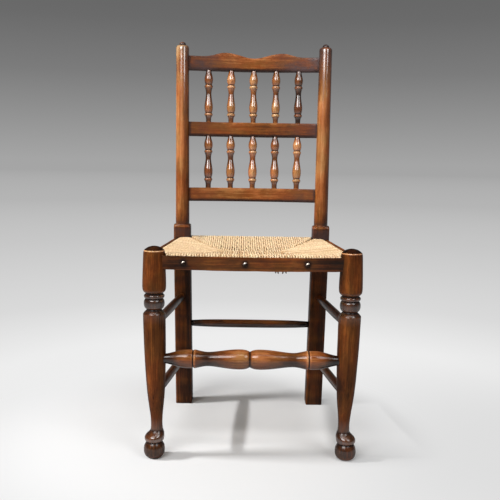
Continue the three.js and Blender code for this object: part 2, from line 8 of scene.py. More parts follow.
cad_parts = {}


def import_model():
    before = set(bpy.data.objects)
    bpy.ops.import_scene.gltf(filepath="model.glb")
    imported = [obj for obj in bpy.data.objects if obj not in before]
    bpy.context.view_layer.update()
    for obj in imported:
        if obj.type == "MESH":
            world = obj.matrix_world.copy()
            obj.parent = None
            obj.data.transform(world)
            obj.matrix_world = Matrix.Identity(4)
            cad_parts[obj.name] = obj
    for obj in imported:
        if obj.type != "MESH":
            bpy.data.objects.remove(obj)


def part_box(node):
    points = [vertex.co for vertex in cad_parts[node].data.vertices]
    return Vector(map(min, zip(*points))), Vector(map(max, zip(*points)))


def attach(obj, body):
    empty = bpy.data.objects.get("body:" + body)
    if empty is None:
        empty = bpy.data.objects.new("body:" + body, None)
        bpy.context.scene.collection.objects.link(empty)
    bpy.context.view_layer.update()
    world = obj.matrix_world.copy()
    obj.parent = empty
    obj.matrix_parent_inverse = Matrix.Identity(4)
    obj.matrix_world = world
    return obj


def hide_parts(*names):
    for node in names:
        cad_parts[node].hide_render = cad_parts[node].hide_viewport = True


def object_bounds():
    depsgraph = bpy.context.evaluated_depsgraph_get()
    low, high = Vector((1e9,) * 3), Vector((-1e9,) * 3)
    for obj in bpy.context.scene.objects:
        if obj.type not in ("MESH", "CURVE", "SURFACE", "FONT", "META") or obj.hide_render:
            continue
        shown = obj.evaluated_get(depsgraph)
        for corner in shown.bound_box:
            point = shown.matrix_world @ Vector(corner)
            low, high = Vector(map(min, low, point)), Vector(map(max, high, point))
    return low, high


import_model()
cad_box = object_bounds()
MM = 0.001

SIDES = ((-1, "left"), (1, "right"))

# How finely pieces are drawn
FINE_STEP = 0.9 * MM
FRONT_STEP = 1.4 * MM
LEG_STEP = 1.6 * MM
PLAIN_STEP = 4 * MM
POST_STEP = 8 * MM
THICK_SIDES = 64
THIN_SIDES = 40
NAIL_SIDES = 32
RAIL_STATIONS = 151
STRIP_STATIONS = 141

# Places from the frame
leg_low, leg_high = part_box("front_leg_right")
FRONT_X = (leg_low.x + leg_high.x) / 2
FRONT_Y = (leg_low.y + leg_high.y) / 2
LEG_HEIGHT = leg_high.z
BLOCK_RADIUS = (leg_high.x - leg_low.x) / 2
CHAIR_HEIGHT = cad_box[1].z

# The whole chair
SEAT_HEIGHT = 456.7 * MM  # top of the edge strips
SEAT_DEPTH = 367.2 * MM  # between the axes of the front legs and of the rear posts
REAR_Y = FRONT_Y + SEAT_DEPTH
REAR_SPACING = 355 * MM
REAR_SPLAY = 16 * MM
BACK_RAKE = 75 * MM
BEND_START = SEAT_HEIGHT - 46.7 * MM
BEND_LENGTH = 80 * MM
RAKE_SLOPE = BACK_RAKE / (CHAIR_HEIGHT - BEND_START - BEND_LENGTH / 2)
RAKE_ANGLE = math.atan(RAKE_SLOPE)

# Front legs
FOOT_HEIGHT = 37 * MM
FOOT_RADIUS = 23.4 * MM
PAD_HEIGHT = 25 * MM
PAD_RADIUS = 21.7 * MM
ANKLE_RADIUS = 12.9 * MM
ANKLE_OFFSET = 5 * MM
SHAFT_RADIUS = 24.7 * MM
COLLAR_HEIGHT = 47 * MM
COLLAR_RADIUS = 22.8 * MM
BLOCK_HEIGHT = 91 * MM
DOME_HEIGHT = 11.3 * MM
ANKLE_BOTTOM = FOOT_HEIGHT + PAD_HEIGHT
BLOCK_TOP = LEG_HEIGHT - DOME_HEIGHT
BLOCK_BOTTOM = BLOCK_TOP - BLOCK_HEIGHT
SHAFT_TOP = BLOCK_BOTTOM - COLLAR_HEIGHT

# Rear posts
POST_WIDTH = 43.5 * MM
POST_EDGE = 2.6 * MM  # rounding of the square part's edges
POST_BLOCK_TOP = SEAT_HEIGHT + 34.3 * MM
POST_SHOULDER = 12 * MM  # height of the shoulder that is turned on the square part
POST_CHAMFER = 1.5 * MM
POST_RADIUS = 18.3 * MM
POST_TOP_RADIUS = 17.4 * MM
FINIAL_HEIGHT = 15.5 * MM
DARKER_INSIDE_FROM = 800 * MM  # height where the right post starts to be darker on its inner side

# Back rails and spindles
CREST_BOTTOM = CHAIR_HEIGHT - 74.8 * MM
CREST_HEIGHT = 48.3 * MM
MIDDLE_HEIGHT = 37.5 * MM
LOWER_HEIGHT = 35.3 * MM
LOWER_BOTTOM = SEAT_HEIGHT + 95.2 * MM
LOWER_TOP = LOWER_BOTTOM + LOWER_HEIGHT
LOWER_ROW_SHARE = 0.499  # of the height of both rows of spindles
MIDDLE_BOTTOM = LOWER_TOP + LOWER_ROW_SHARE * (CREST_BOTTOM - LOWER_TOP - MIDDLE_HEIGHT)
MIDDLE_TOP = MIDDLE_BOTTOM + MIDDLE_HEIGHT
RAIL_BOW = 18 * MM
RAIL_THICKNESS = 17 * MM
RAIL_END_THICKNESS = 13 * MM
RAIL_EDGE = 2.6 * MM
RAIL_DEPTH_IN_POST = 16.5 * MM
LOWER_SPINDLE_RADIUS = 11.8 * MM
UPPER_SPINDLE_RADIUS = 11.4 * MM
SPINDLE_TENON_RADIUS = 5 * MM
SPINDLE_TENON = 12 * MM
SPINDLE_PITCH_SHARE = 0.318
MIDDLE_SPINDLE = 3  # its number in each row

# Stretchers
STRETCHER_Z = 226 * MM
STRETCHER_RADIUS = 22 * MM
STRETCHER_SHIFT = -3.5 * MM
REAR_STRETCHER_Z = 220.5 * MM
REAR_STRETCHER_RADIUS = 11 * MM
UPPER_SIDE_Z = (302 * MM, 298.5 * MM)  # at the front leg, at the rear post
LOWER_SIDE_Z = (142 * MM, 129 * MM)
SIDE_STRETCHER_RADIUS = 10.5 * MM
STRETCHER_TENON = 18 * MM

# Rush, strips and nails
RAIL_HALF = 6.5 * MM  # half the thickness of a seat rail
RAIL_DEEP = 23.2 * MM
RAIL_TENON_RADIUS = 6.3 * MM
RAIL_TENON_STOP = 9 * MM  # from the end of a tenon to the axis of its leg or post
RAIL_DROP = 2 * MM  # how much lower a rail's top lies than the seat's height
SIDE_RAIL_DROP = 5.6 * MM
SEAT_RAIL_EDGE = 2.6 * MM
SIDE_RAIL_EDGE = 4 * MM
RUSH_WRAP = 3.6 * MM
RUSH_CROWN = 3.5 * MM
RUSH_SAG = 15 * MM
RUSH_MIDDLE = 14 * MM
RUSH_REACH = RAIL_HALF + RUSH_WRAP
GAP = 0.3 * MM  # between pieces
STRIP_THICKNESS = 4.5 * MM
STRIP_HEIGHT = 30 * MM
STRIP_SAG = 2 * MM
STRIP_EDGE = 1.4 * MM
NAIL_RADIUS = 5 * MM
NAIL_HEIGHT = 3 * MM
NAIL_SHANK = 1.2 * MM
NAIL_LENGTH = 15.4 * MM
FRONT_NAIL_SHARES = (-0.7, -0.08, 0.55)
SIDE_NAIL_SHARES = (-0.6, 0, 0.6)

# Turned outlines: smooth runs of [share of the length, share of the radius], with a crease
# where one run ends and the next starts
FOOT_RUN = [[0, 0.41], [0.03, 0.6], [0.09, 0.78], [0.18, 0.9], [0.32, 0.975], [0.5, 1],
            [0.68, 0.975], [0.81, 0.9], [0.92, 0.8], [0.985, 0.73]]
PAD_RUN = [[0, 0.8], [0.06, 0.9], [0.14, 0.965], [0.26, 1], [0.42, 0.995], [0.56, 0.955],
           [0.7, 0.865], [0.82, 0.765], [0.92, 0.69]]
# Its second shares run from the ankle's radius to the shaft's
SHAFT_RUN = [[0, 0.09], [0.03, 0.01], [0.07, -0.01], [0.11, 0.03], [0.17, 0.17], [0.25, 0.385],
             [0.34, 0.575], [0.46, 0.73], [0.58, 0.835], [0.7, 0.915], [0.85, 0.965], [0.975, 0.985]]
COLLAR_RUNS = [
    [[-0.015, 1.075], [0.01, 1.07], [0.035, 1.04], [0.06, 1.0], [0.11, 0.92], [0.165, 0.8],
     [0.2, 0.735], [0.225, 0.71], [0.245, 0.715]],
    [[0.245, 0.77], [0.275, 0.85], [0.33, 0.925], [0.41, 0.975], [0.5, 0.995], [0.58, 0.985],
     [0.65, 0.945], [0.7, 0.88], [0.72, 0.82]],
    [[0.735, 0.82], [0.755, 0.89], [0.79, 0.955], [0.84, 0.985], [0.89, 0.965], [0.925, 0.9],
     [0.945, 0.83]],
]
BLOCK_RUN = [[-0.01, 0.72], [0.005, 0.8], [0.025, 0.875], [0.055, 0.945], [0.1, 0.985], [0.16, 1],
             [0.3, 0.995], [0.6, 0.96], [0.85, 0.928], [0.965, 0.91], [0.99, 0.895], [1, 0.88]]
RIM_RUN = [[0.01, 0.88], [0.09, 0.882], [0.15, 0.875], [0.19, 0.86], [0.215, 0.84]]
DOME_RUN = [[0.22, 0.83], [0.37, 0.77], [0.56, 0.655], [0.76, 0.5], [0.91, 0.31], [0.98, 0.15],
            [1, 0.02]]
FINIAL_RUNS = [
    [[-0.6, 1.005], [-0.1, 1], [0.05, 0.985], [0.16, 0.945], [0.27, 0.87], [0.37, 0.755], [0.43, 0.63],
     [0.455, 0.55]],
    [[0.465, 0.47], [0.5, 0.47], [0.54, 0.505], [0.6, 0.525], [0.68, 0.51], [0.77, 0.45], [0.86, 0.36],
     [0.94, 0.25], [0.985, 0.13], [1, 0.02]],
]
LOWER_SPINDLE_RUNS = [
    [[0, 0.6], [0.05, 0.605], [0.085, 0.63], [0.11, 0.7], [0.133, 0.8]],
    [[0.138, 0.86], [0.146, 0.92], [0.16, 0.945], [0.174, 0.915], [0.181, 0.85]],
    [[0.186, 0.76], [0.198, 0.775], [0.213, 0.83], [0.238, 0.915], [0.273, 0.98], [0.313, 1],
     [0.353, 0.985], [0.398, 0.915], [0.448, 0.81], [0.498, 0.71], [0.54, 0.645], [0.58, 0.625],
     [0.617, 0.665], [0.651, 0.75], [0.676, 0.85]],
    [[0.681, 0.88], [0.689, 0.93], [0.702, 0.95], [0.715, 0.92], [0.722, 0.85]],
    [[0.727, 0.77], [0.737, 0.775], [0.757, 0.85], [0.793, 0.955], [0.832, 0.99], [0.87, 0.95],
     [0.907, 0.84], [0.945, 0.71], [0.977, 0.61], [1, 0.57]],
]
UPPER_SPINDLE_RUNS = [
    [[0, 0.6], [0.045, 0.61], [0.075, 0.64], [0.1, 0.72], [0.12, 0.83]],
    [[0.125, 0.9], [0.133, 0.955], [0.147, 0.98], [0.161, 0.95], [0.168, 0.88]],
    [[0.173, 0.79], [0.186, 0.805], [0.204, 0.875], [0.232, 0.95], [0.272, 0.995], [0.307, 1],
     [0.347, 0.955], [0.402, 0.85], [0.455, 0.75], [0.51, 0.675], [0.553, 0.65], [0.592, 0.685],
     [0.63, 0.77], [0.659, 0.88]],
    [[0.664, 0.91], [0.672, 0.965], [0.687, 0.99], [0.702, 0.96], [0.71, 0.89]],
    [[0.716, 0.79], [0.729, 0.8], [0.751, 0.885], [0.788, 0.98], [0.828, 1.01], [0.868, 0.965],
     [0.907, 0.855], [0.945, 0.735], [0.978, 0.65], [1, 0.61]],
]
# Of the front stretcher, from the middle of its turning to the leg
STRETCHER_RUNS = [
    [[0, 0.77], [0.012, 0.83], [0.035, 0.91], [0.07, 0.975], [0.12, 1], [0.17, 0.99],
     [0.24, 0.945], [0.33, 0.85], [0.41, 0.76], [0.48, 0.71], [0.53, 0.725], [0.58, 0.8],
     [0.62, 0.875], [0.645, 0.925], [0.66, 0.92], [0.668, 0.86]],
    [[0.674, 0.85], [0.684, 0.905], [0.705, 0.93], [0.74, 0.935], [0.79, 0.895], [0.85, 0.8],
     [0.91, 0.66], [0.96, 0.55], [1, 0.49]],
]
PLAIN_SHARES = [[0, 0.72], [0.08, 0.79], [0.2, 0.875], [0.37, 0.94], [0.62, 0.985], [1, 1]]
NAIL_RUN = [[0, 0.97], [0.12, 1], [0.3, 0.97], [0.55, 0.84], [0.78, 0.62], [0.93, 0.36], [1, 0.04]]
# Tops of the back rails, from the middle to the post
CREST_TOP = [[0, 0.715], [0.07, 0.73], [0.14, 0.795], [0.22, 0.89], [0.31, 0.965], [0.39, 1],
             [0.46, 0.982], [0.54, 0.9], [0.61, 0.825], [0.68, 0.788], [0.76, 0.783],
             [0.86, 0.785], [1, 0.787]]
STRAIGHT_TOP = [[0, 1], [1, 1]]


# Shapes

def smooth_line(points, step):
    """A smooth line through the points, with a point at every step or less."""
    p = np.array(points, float)
    if len(p) == 2:
        count = max(1, math.ceil(np.linalg.norm(p[1] - p[0]) / step))
        return p[0] + (p[1] - p[0]) * np.linspace(0, 1, count + 1)[:, None]
    gaps = np.sqrt(np.maximum(np.linalg.norm(np.diff(p, axis=0), axis=1), 1e-9))
    slopes = np.diff(p, axis=0) / gaps[:, None]
    inner = (slopes[1:] * gaps[:-1, None] + slopes[:-1] * gaps[1:, None]) / (gaps[1:] + gaps[:-1])[:, None]
    tangents = np.vstack([2 * slopes[0] - inner[0], inner, 2 * slopes[-1] - inner[-1]])
    line = [p[:1]]
    for i, gap in enumerate(gaps):
        count = max(1, math.ceil(np.linalg.norm(p[i + 1] - p[i]) / step))
        t = np.linspace(0, 1, count + 1)[1:, None]
        line.append((2 * t**3 - 3 * t**2 + 1) * p[i] + (t**3 - 2 * t**2 + t) * gap * tangents[i]
                    + (3 * t**2 - 2 * t**3) * p[i + 1] + (t**3 - t**2) * gap * tangents[i + 1])
    return np.vstack(line)


def scaled(run, start, length, radius):
    """A run of shares in real sizes: [height, radius]."""
    return [[start + a * length, b * radius] for a, b in run]


def outline(runs, step):
    """The points of a turned outline, each run smooth in itself."""
    return np.vstack([smooth_line(run, step) for run in runs])


def with_tenons(runs, depth, radius):
    """The runs of a turned outline, with a straight tenon at each end."""
    first, last = runs[0][0][0], runs[-1][-1][0]
    return [[[first - depth, radius], [first, radius]], *runs, [[last, radius], [last + depth, radius]]]


def circle(count):
    """Even angles round a circle."""
    return np.arange(count) * 2 * math.pi / count


def waver(seed, at, wave):
    """A slow random wave between -1 and 1 over the values."""
    rng = random.Random(seed)
    total = np.zeros_like(at, dtype=float)
    for k in (1.0, 1.9, 3.3):
        total += np.sin(at * 2 * math.pi * k / wave + rng.uniform(0, 2 * math.pi)) / k
    return total / 1.83  # the most that the three sines can add up to


def bell(at, middle, width):
    """1 at the middle and 0 far from it."""
    return np.exp(-((at - middle) / width) ** 2)


def levels(z, marks):
    """The values at the heights z, from marks of a height and its values."""
    heights, *columns = zip(*marks)
    return [np.interp(z, heights, column) for column in columns]


def round_rings(radius, angles, heights):
    """Rings round Z from radii, a row for each height and a column for each angle."""
    x = radius * np.cos(angles)
    return np.stack([x, radius * np.sin(angles), heights[:, None] + 0 * x], 2)


def skin(rings, first):
    """Vertices, side faces and end faces of a closed surface over rings, anticlockwise as seen
    from the last one. First is the number of its first vertex."""
    rings = np.asarray(rings, float)
    rows, count, _ = rings.shape
    i = np.arange(count) + first
    j = np.roll(i, -1)
    quads = np.stack([i, j, j + count, i + count], 1) + count * np.arange(rows - 1)[:, None, None]
    tip = np.full(count, first + rows * count)
    top = (rows - 1) * count
    ends = np.vstack([np.stack([tip, j, i], 1), np.stack([tip + 1, i + top, j + top], 1)])
    return np.vstack([rings.reshape(-1, 3), rings[0].mean(0), rings[-1].mean(0)]), quads.reshape(-1, 4), ends


def along(start, end):
    """A frame at start with its Z axis towards end, as Matrix. Its Y axis is as upright as can be."""
    forward = (end - start).normalized()
    upright = Vector((0, 1, 0)) if abs(forward.z) > math.sqrt(0.5) else Vector((0, 0, 1))
    across = upright.cross(forward).normalized()
    up = forward.cross(across)
    return Matrix.Translation(start) @ Matrix((across, up, forward)).transposed().to_4x4()


def lean(z):
    """How far the back lies behind the rear posts' feet at a height."""
    past = np.maximum(np.asarray(z, float) - BEND_START, 0)
    bent = past**2 / (2 * BEND_LENGTH)
    return RAKE_SLOPE * np.where(past < BEND_LENGTH, bent, past - BEND_LENGTH / 2)


def post_x(z):
    return REAR_SPACING / 2 + REAR_SPLAY * z / CHAIR_HEIGHT


def on_back(x, z):
    """A point on the middle surface of the bowed and raked back."""
    return Vector((x, REAR_Y + float(lean(z)) + RAIL_BOW * (1 - (x / post_x(z)) ** 2), z))


# Pieces

def attribute(piece, name, values):
    """Gives each vertex of the piece a number or a vector by name."""
    values = np.asarray(values, np.float32)
    kind, field = ("FLOAT", "value") if values.ndim == 1 else ("FLOAT_VECTOR", "vector")
    piece.data.attributes.new(name, kind, "POINT").data.foreach_set(field, values.ravel())


def add_object(name, data):
    made = bpy.data.objects.new(name, data)
    bpy.context.scene.collection.objects.link(made)
    return made


def add_piece(name, node, stacks, material, place=None, sharp=35):
    """A smooth-shaded piece with creases at sharp edges, which rides on the chair's one body. It has
    one closed surface over each stack of rings."""
    verts, quads, ends, first = [], [], [], 0
    for rings in stacks:
        for total, part in zip((verts, quads, ends), skin(rings, first)):
            total.append(part)
        first += len(verts[-1])
    mesh = bpy.data.meshes.new(name)
    mesh.from_pydata(np.vstack(verts).tolist(), [], np.vstack(quads).tolist() + np.vstack(ends).tolist())
    mesh.shade_smooth()
    mesh.set_sharp_from_angle(angle=math.radians(sharp))
    mesh.materials.append(material)
    piece = add_object(name, mesh)
    if place is not None:
        piece.matrix_world = place
    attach(piece, "root")
    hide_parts(node)
    return piece


def wood_piece(name, node, rings, grain, place=None, sharp=35, satin=False, **fields):
    """A wooden piece over rings. Grain places its figure, with Z along the fibres. The fields tell
    the tone, grime, wear, polish and haze of each ring or of each
    point. Tone also holds painted light and shade, grime darkens for dirt and painted shade,
    wear lightens for rubbing and painted highlight, and haze is a painted reflection."""
    piece = add_piece(name, node, [rings], SATIN if satin else POLISHED, place, sharp)
    for label, values in fields.items():
        values = np.asarray(values, float)
        flat = np.repeat(values, len(rings[0])) if values.ndim == 1 else values.ravel()
        attribute(piece, label, [*flat, flat[0], flat[-1]])
    grain = np.asarray(grain, float)
    attribute(piece, "grain", np.vstack([grain.reshape(-1, 3), grain[0].mean(0), grain[-1].mean(0)]))


def seed_of(name):
    return sum(map(ord, name))


def ridges(line, detail):
    """How deep each point of an outline lies in a groove, and how far it stands out, 0 to 1."""
    heights = line[:, 0]
    even = np.linspace(heights.min(), heights.max(), 600)
    order = np.argsort(heights, kind="stable")
    radius = np.interp(even, heights[order], line[order, 1])
    width = max(3, int(detail / (even[1] - even[0])))
    kernel = np.hanning(2 * width + 1)
    mean = np.convolve(np.pad(radius, width, mode="edge"), kernel / kernel.sum(), "valid")
    rise = (line[:, 1] - np.interp(heights, even, mean)) / (detail / 12)
    return np.clip(-rise, 0, 1), np.clip(rise, 0, 1)


UNEVEN = 0.006  # how far a turned section is off round, over its radius
PATCHY = 0.06  # how much lighter or darker the wood gets along a piece


def turned(name, node, line, sides, place, tone, polish, around, shift=0, detail=5 * MM, bulge=0, worn_and_lit=1,
           satin=False):
    """A turned piece round Z: line is its outline, around gives how much lighter it is at each angle,
    which is painted light and shade, shift moves its sections sideways, detail is the size of its beads,
    bulge is how much lighter it is where it is thick, painted light on bulbs and painted shade in necks,
    and worn_and_lit is how much lighter its beads are, from rubbing and painted highlight."""
    seed = seed_of(name)
    angle = circle(sides)
    height, radius = line.T
    uneven = 1 + UNEVEN * np.outer(waver(seed, height, 0.09), np.cos(angle + seed))
    rings = round_rings(radius[:, None] * uneven, angle, height)
    grain = rings + np.array([seed % 7, seed % 5, seed % 3]) * 0.37
    # Grooves get darker, for dirt and painted shade, and beads lighter, for rubbing and painted highlight.
    grime, wear = ridges(line, detail)
    shade = tone + PATCHY * waver(seed + 1, height, 0.3) + bulge * (radius / radius.max() - 0.8)
    wood_piece(name, node, rings + shift, grain, place, satin=satin, tone=shade[:, None] + around(angle),
               grime=grime, wear=wear * worn_and_lit, polish=polish + 0 * height)


def front_leg(side, word):
    swell = SHAFT_RADIUS - ANKLE_RADIUS
    lower = scaled(PAD_RUN, FOOT_HEIGHT, PAD_HEIGHT, PAD_RADIUS)
    upper = [[ANKLE_BOTTOM + a * (SHAFT_TOP - ANKLE_BOTTOM), ANKLE_RADIUS + b * swell] for a, b in SHAFT_RUN]
    runs = [scaled(FOOT_RUN, 0, FOOT_HEIGHT, FOOT_RADIUS), lower + upper]
    runs += [scaled(run, SHAFT_TOP, COLLAR_HEIGHT, COLLAR_RADIUS) for run in COLLAR_RUNS]
    runs.append(scaled(BLOCK_RUN, BLOCK_BOTTOM, BLOCK_HEIGHT, BLOCK_RADIUS))
    runs += [scaled(run, BLOCK_TOP, DOME_HEIGHT, BLOCK_RADIUS) for run in (RIM_RUN, DOME_RUN)]
    line = outline(runs, LEG_STEP)
    z = line[:, 0]
    t = np.clip((z - FOOT_HEIGHT - PAD_HEIGHT / 3) / (2 * PAD_HEIGHT / 3), 0, 1)
    fade = np.clip((SHAFT_TOP - z) / (SHAFT_TOP - ANKLE_BOTTOM), 0, 1)
    size = ANKLE_OFFSET * t * t * (3 - 2 * t) * fade
    shift = np.stack([-side * size, size, 0 * size], 1)[:, None]
    rim = BLOCK_TOP + 0.15 * DOME_HEIGHT
    # The rim round the top of the block gets a light tone and much polish: a rubbed edge with a painted
    # highlight.
    tone, polish = levels(z, [
        (0, 0.28, 0.25), (FOOT_HEIGHT, 0.26, 0.4), (FOOT_HEIGHT + 6 * MM, 0.32, 0.85),
        (ANKLE_BOTTOM, 0.36, 0.5), (ANKLE_BOTTOM + 30 * MM, 0.42, 0.04),
        (SHAFT_TOP - 20 * MM, 0.42, 0.02), (SHAFT_TOP - 5 * MM, 0.42, 0.2), (SHAFT_TOP + 4 * MM, 0.24, 0.5),
        (BLOCK_BOTTOM - 3 * MM, 0.2, 0.65), (BLOCK_BOTTOM + 8 * MM, 0.42, 0.03),
        (BLOCK_TOP - 5 * MM, 0.45, 0.03), (BLOCK_TOP - 1 * MM, 0.4, 0.1), (rim - 0.8 * MM, 1, 0.9),
        (rim + 0.4 * MM, 1, 0.9), (rim + 1.2 * MM, 0.12, 0.15), (LEG_HEIGHT, 0.06, 0.15)])
    place = Matrix.Translation((side * FRONT_X, FRONT_Y, 0))
    # Each leg is darker at its left and right flanks: painted shade.
    turned(f"leg_{word}", f"front_leg_{word}", line, THICK_SIDES, place, tone, polish,
           lambda angle: -0.15 * np.abs(np.cos(angle)) ** 4, shift, worn_and_lit=0.4, satin=True)


# Rear posts

QUARTER = np.radians([0, 9, 18, 26, 33, 37, 40, 42, 44, 46, 48, 50, 53, 57, 64, 72, 81])
POST_ANGLES = np.concatenate([QUARTER + k * math.pi / 2 for k in range(4)])


def square_radius(angles, half, edge):
    """Distance from the middle of a square with rounded edges to its outline."""
    a = np.abs((angles + math.pi / 4) % (math.pi / 2) - math.pi / 4)
    flat = half / np.cos(a)
    middle = half - edge
    b = middle * (np.cos(a) + np.sin(a))
    corner = b + np.sqrt(np.maximum(b * b - 2 * middle * middle + edge * edge, 0))
    return np.where(np.tan(a) * half <= middle, flat, corner)


def rear_post(side, word):
    half = POST_WIDTH / 2
    shoulder = POST_BLOCK_TOP - POST_SHOULDER
    finial = CHAIR_HEIGHT - FINIAL_HEIGHT
    runs = [scaled(run, finial, FINIAL_HEIGHT, POST_TOP_RADIUS) for run in FINIAL_RUNS]
    button = outline(runs, FINE_STEP)
    z = np.concatenate([[0, POST_CHAMFER], np.arange(12 * MM, shoulder, POST_STEP),
                        shoulder + POST_SHOULDER * np.sin(np.linspace(0, math.pi / 2, 16)),
                        np.arange(POST_BLOCK_TOP + 4 * MM, finial - 12 * MM, POST_STEP), button[:, 0]])
    share = np.clip((z - POST_BLOCK_TOP) / (finial - POST_BLOCK_TOP), 0, 1)
    shaft = POST_RADIUS + share * (POST_TOP_RADIUS - POST_RADIUS)
    shaft[-len(button):] = button[:, 1]
    rise = np.clip((z - shoulder) / POST_SHOULDER, 0, 1)
    rounded = POST_RADIUS + (half * math.sqrt(2) - POST_RADIUS) * np.sqrt(1 - rise**2)
    block = square_radius(POST_ANGLES, half, POST_EDGE)
    square = (z <= POST_BLOCK_TOP)[:, None]
    radius = np.where(square, np.minimum(block, rounded[:, None]), shaft[:, None])
    radius[0] -= POST_CHAMFER
    seed = 40 + side
    radius = radius * (1 + 0.004 * np.outer(waver(seed, z, 0.17), np.cos(POST_ANGLES + seed)))
    rings = round_rings(radius, POST_ANGLES, z)
    axis = np.stack([side * post_x(z), REAR_Y + lean(z), 0 * z], 1)[:, None]
    above = 0.9 * np.exp(-np.maximum(z - POST_BLOCK_TOP, 0) / (5 * MM))
    grime = np.where(z > POST_BLOCK_TOP, above, 0.28 + 0.2 * waver(seed + 2, z, 0.05))
    grime = np.where(z > finial, bell(z, finial + 0.48 * FINIAL_HEIGHT, 1.5 * MM), grime)
    # Lighter rims at the block's shoulder and at the finial: rubbed edges with a painted highlight.
    rims = bell(z, shoulder + 0.6 * POST_SHOULDER, 3 * MM) + bell(z, finial + 0.25 * FINIAL_HEIGHT, 3 * MM)
    wear = np.clip(0.55 * (square & (block > 1.3 * half)) + rims[:, None], 0, 1)
    neck = finial + 0.45 * FINIAL_HEIGHT
    # The tone is lighter just under the block's top, where a painted highlight lies on the rubbed shoulder,
    # and the left finial is lighter than the right one: painted light.
    [tone] = levels(z, [
        (0, 0.44), (0.3, 0.4), (0.4, 0.37), (0.46, 0.4), (POST_BLOCK_TOP - 8 * MM, 0.4),
        (POST_BLOCK_TOP - 6 * MM, 0.58), (POST_BLOCK_TOP - 2 * MM, 0.6), (0.5, 0.52), (0.53, 0.64),
        (0.7, 0.77), (0.85, 0.76), (0.93, 0.7), (neck - 3 * MM, 0.75 - 0.2 * side), (neck, 0.2),
        (CHAIR_HEIGHT, 0.6 - 0.3 * side)])
    # Each post is darker on its right side, away from the light from the left: painted shade.
    tone = tone[:, None] - 0.3 * np.clip(np.cos(POST_ANGLES) + 0.1, 0, 1) ** 1.3
    # The right post gets darker on its inner side near the top.
    if side > 0:
        inner_darkening = np.clip((z - DARKER_INSIDE_FROM) / (60 * MM), 0, 1)[:, None]
        tone = tone - 0.42 * inner_darkening * np.clip(-np.cos(POST_ANGLES), 0, 1) ** 2
    [polish] = levels(z, [(0, 0.04), (POST_BLOCK_TOP - 10 * MM, 0.08), (POST_BLOCK_TOP, 0.7),
                          (POST_BLOCK_TOP + 10 * MM, 0.3), (0.75, 0.6), (0.9, 1)])
    # Painted sheen on the square blocks and near the tops.
    [haze] = levels(z, [(0.43, 0), (0.45, 0.4), (POST_BLOCK_TOP - 12 * MM, 0.4),
                        (POST_BLOCK_TOP - 7 * MM, 0), (0.86, 0), (0.95, 0.4)])
    wood_piece(f"post_{word}", f"rear_post_{word}", rings + axis, rings + seed * 0.21, sharp=38, tone=tone,
               grime=np.clip(grime, 0, 1), wear=wear, polish=polish, haze=haze)


# Back rails

def board_section(thickness, low, high, edge):
    """A rectangle with rounded corners, as [across, up] points, and 1 for those at an edge."""
    arc = np.linspace(math.pi, 1.5 * math.pi, 5)
    across, tall = thickness / 2 - edge, (high - low) / 2 - edge
    rise = np.linspace(-tall, tall, 7)[1:-1]
    half = np.vstack([np.stack([edge * np.cos(arc) - across, edge * np.sin(arc) - tall], 1),
                      np.stack([across - edge * np.sin(arc), edge * np.cos(arc) - tall], 1),
                      np.stack([thickness / 2 + 0 * rise, rise], 1)])
    return np.vstack([half, -half]) + [0, (low + high) / 2], np.tile([1.0] * 10 + [0.0] * 5, 2)


def back_rail(name, bottom, height, top_shares, tone, end_tone, sheen):
    """A bowed rail. Sheen is how much painted sheen, a dull purple-grey reflection, lies on its ends."""
    middle = bottom + height / 2
    reach = post_x(middle)
    end = reach - POST_RADIUS + RAIL_DEPTH_IN_POST
    top = smooth_line([[a * reach, b * height] for a, b in top_shares], 3 * MM)
    xs = np.linspace(-end, end, RAIL_STATIONS)
    tops = bottom + np.interp(np.abs(xs), top[:, 0], top[:, 1])
    upright = Vector((0, math.sin(RAKE_ANGLE), math.cos(RAKE_ANGLE)))
    backward = Vector((0, math.cos(RAKE_ANGLE), -math.sin(RAKE_ANGLE)))
    seed = seed_of(name)
    fade = (np.abs(xs) / end) ** 3
    rings, grain, wear, grime = [], [], [], []
    for x, z_top, wave, worn_and_lit in zip(xs, tops, waver(seed, xs, 0.05), 1 - fade):
        thick = RAIL_THICKNESS + (RAIL_END_THICKNESS - RAIL_THICKNESS) * (x / reach) ** 2
        low, high = (bottom - middle) / math.cos(RAKE_ANGLE), (z_top - middle) / math.cos(RAKE_ANGLE)
        section, edges = board_section(thick, low, high, RAIL_EDGE * (1 + 0.25 * wave))
        rings.append([on_back(x, middle) + backward * a + upright * up for a, up in section])
        grain.append([(a + seed % 5, up + 0.3 * seed, x) for a, up in section])
        # Top edges are lighter, for rubbing and painted light, and bottom edges darker, as painted shade.
        wear.append(edges * (section[:, 1] > 0) * (0.3 + 0.3 * wave) * worn_and_lit)
        grime.append(edges * (section[:, 1] < 0))
    joint = np.clip((np.abs(xs) - reach + POST_RADIUS + 6 * MM) / (8 * MM), 0, 0.8)
    uneven = 1 + 0.35 * xs / reach + 0.2 * waver(seed + 5, xs, 0.08)
    wood_piece(name.replace("_rail", "_board"), name, rings, grain, sharp=50,
               tone=tone + (end_tone - tone) * fade - 0.09 * np.maximum(xs, 0) / end,
               grime=np.maximum(grime, joint[:, None]), wear=np.clip(wear, 0, 1), polish=0.25 + 0 * xs,
               haze=np.clip(sheen * (np.abs(xs) / reach) ** 1.6 * uneven, 0, 1))


# Spindles and stretchers

def painted_underside_shade(angle):
    """Painted shade and light on a lying piece: how much lighter it is at each angle, darker underneath and
    lighter on top.
    """
    return 0.1 - 0.3 * np.clip(0.4 - np.sin(angle), 0, 1.4)


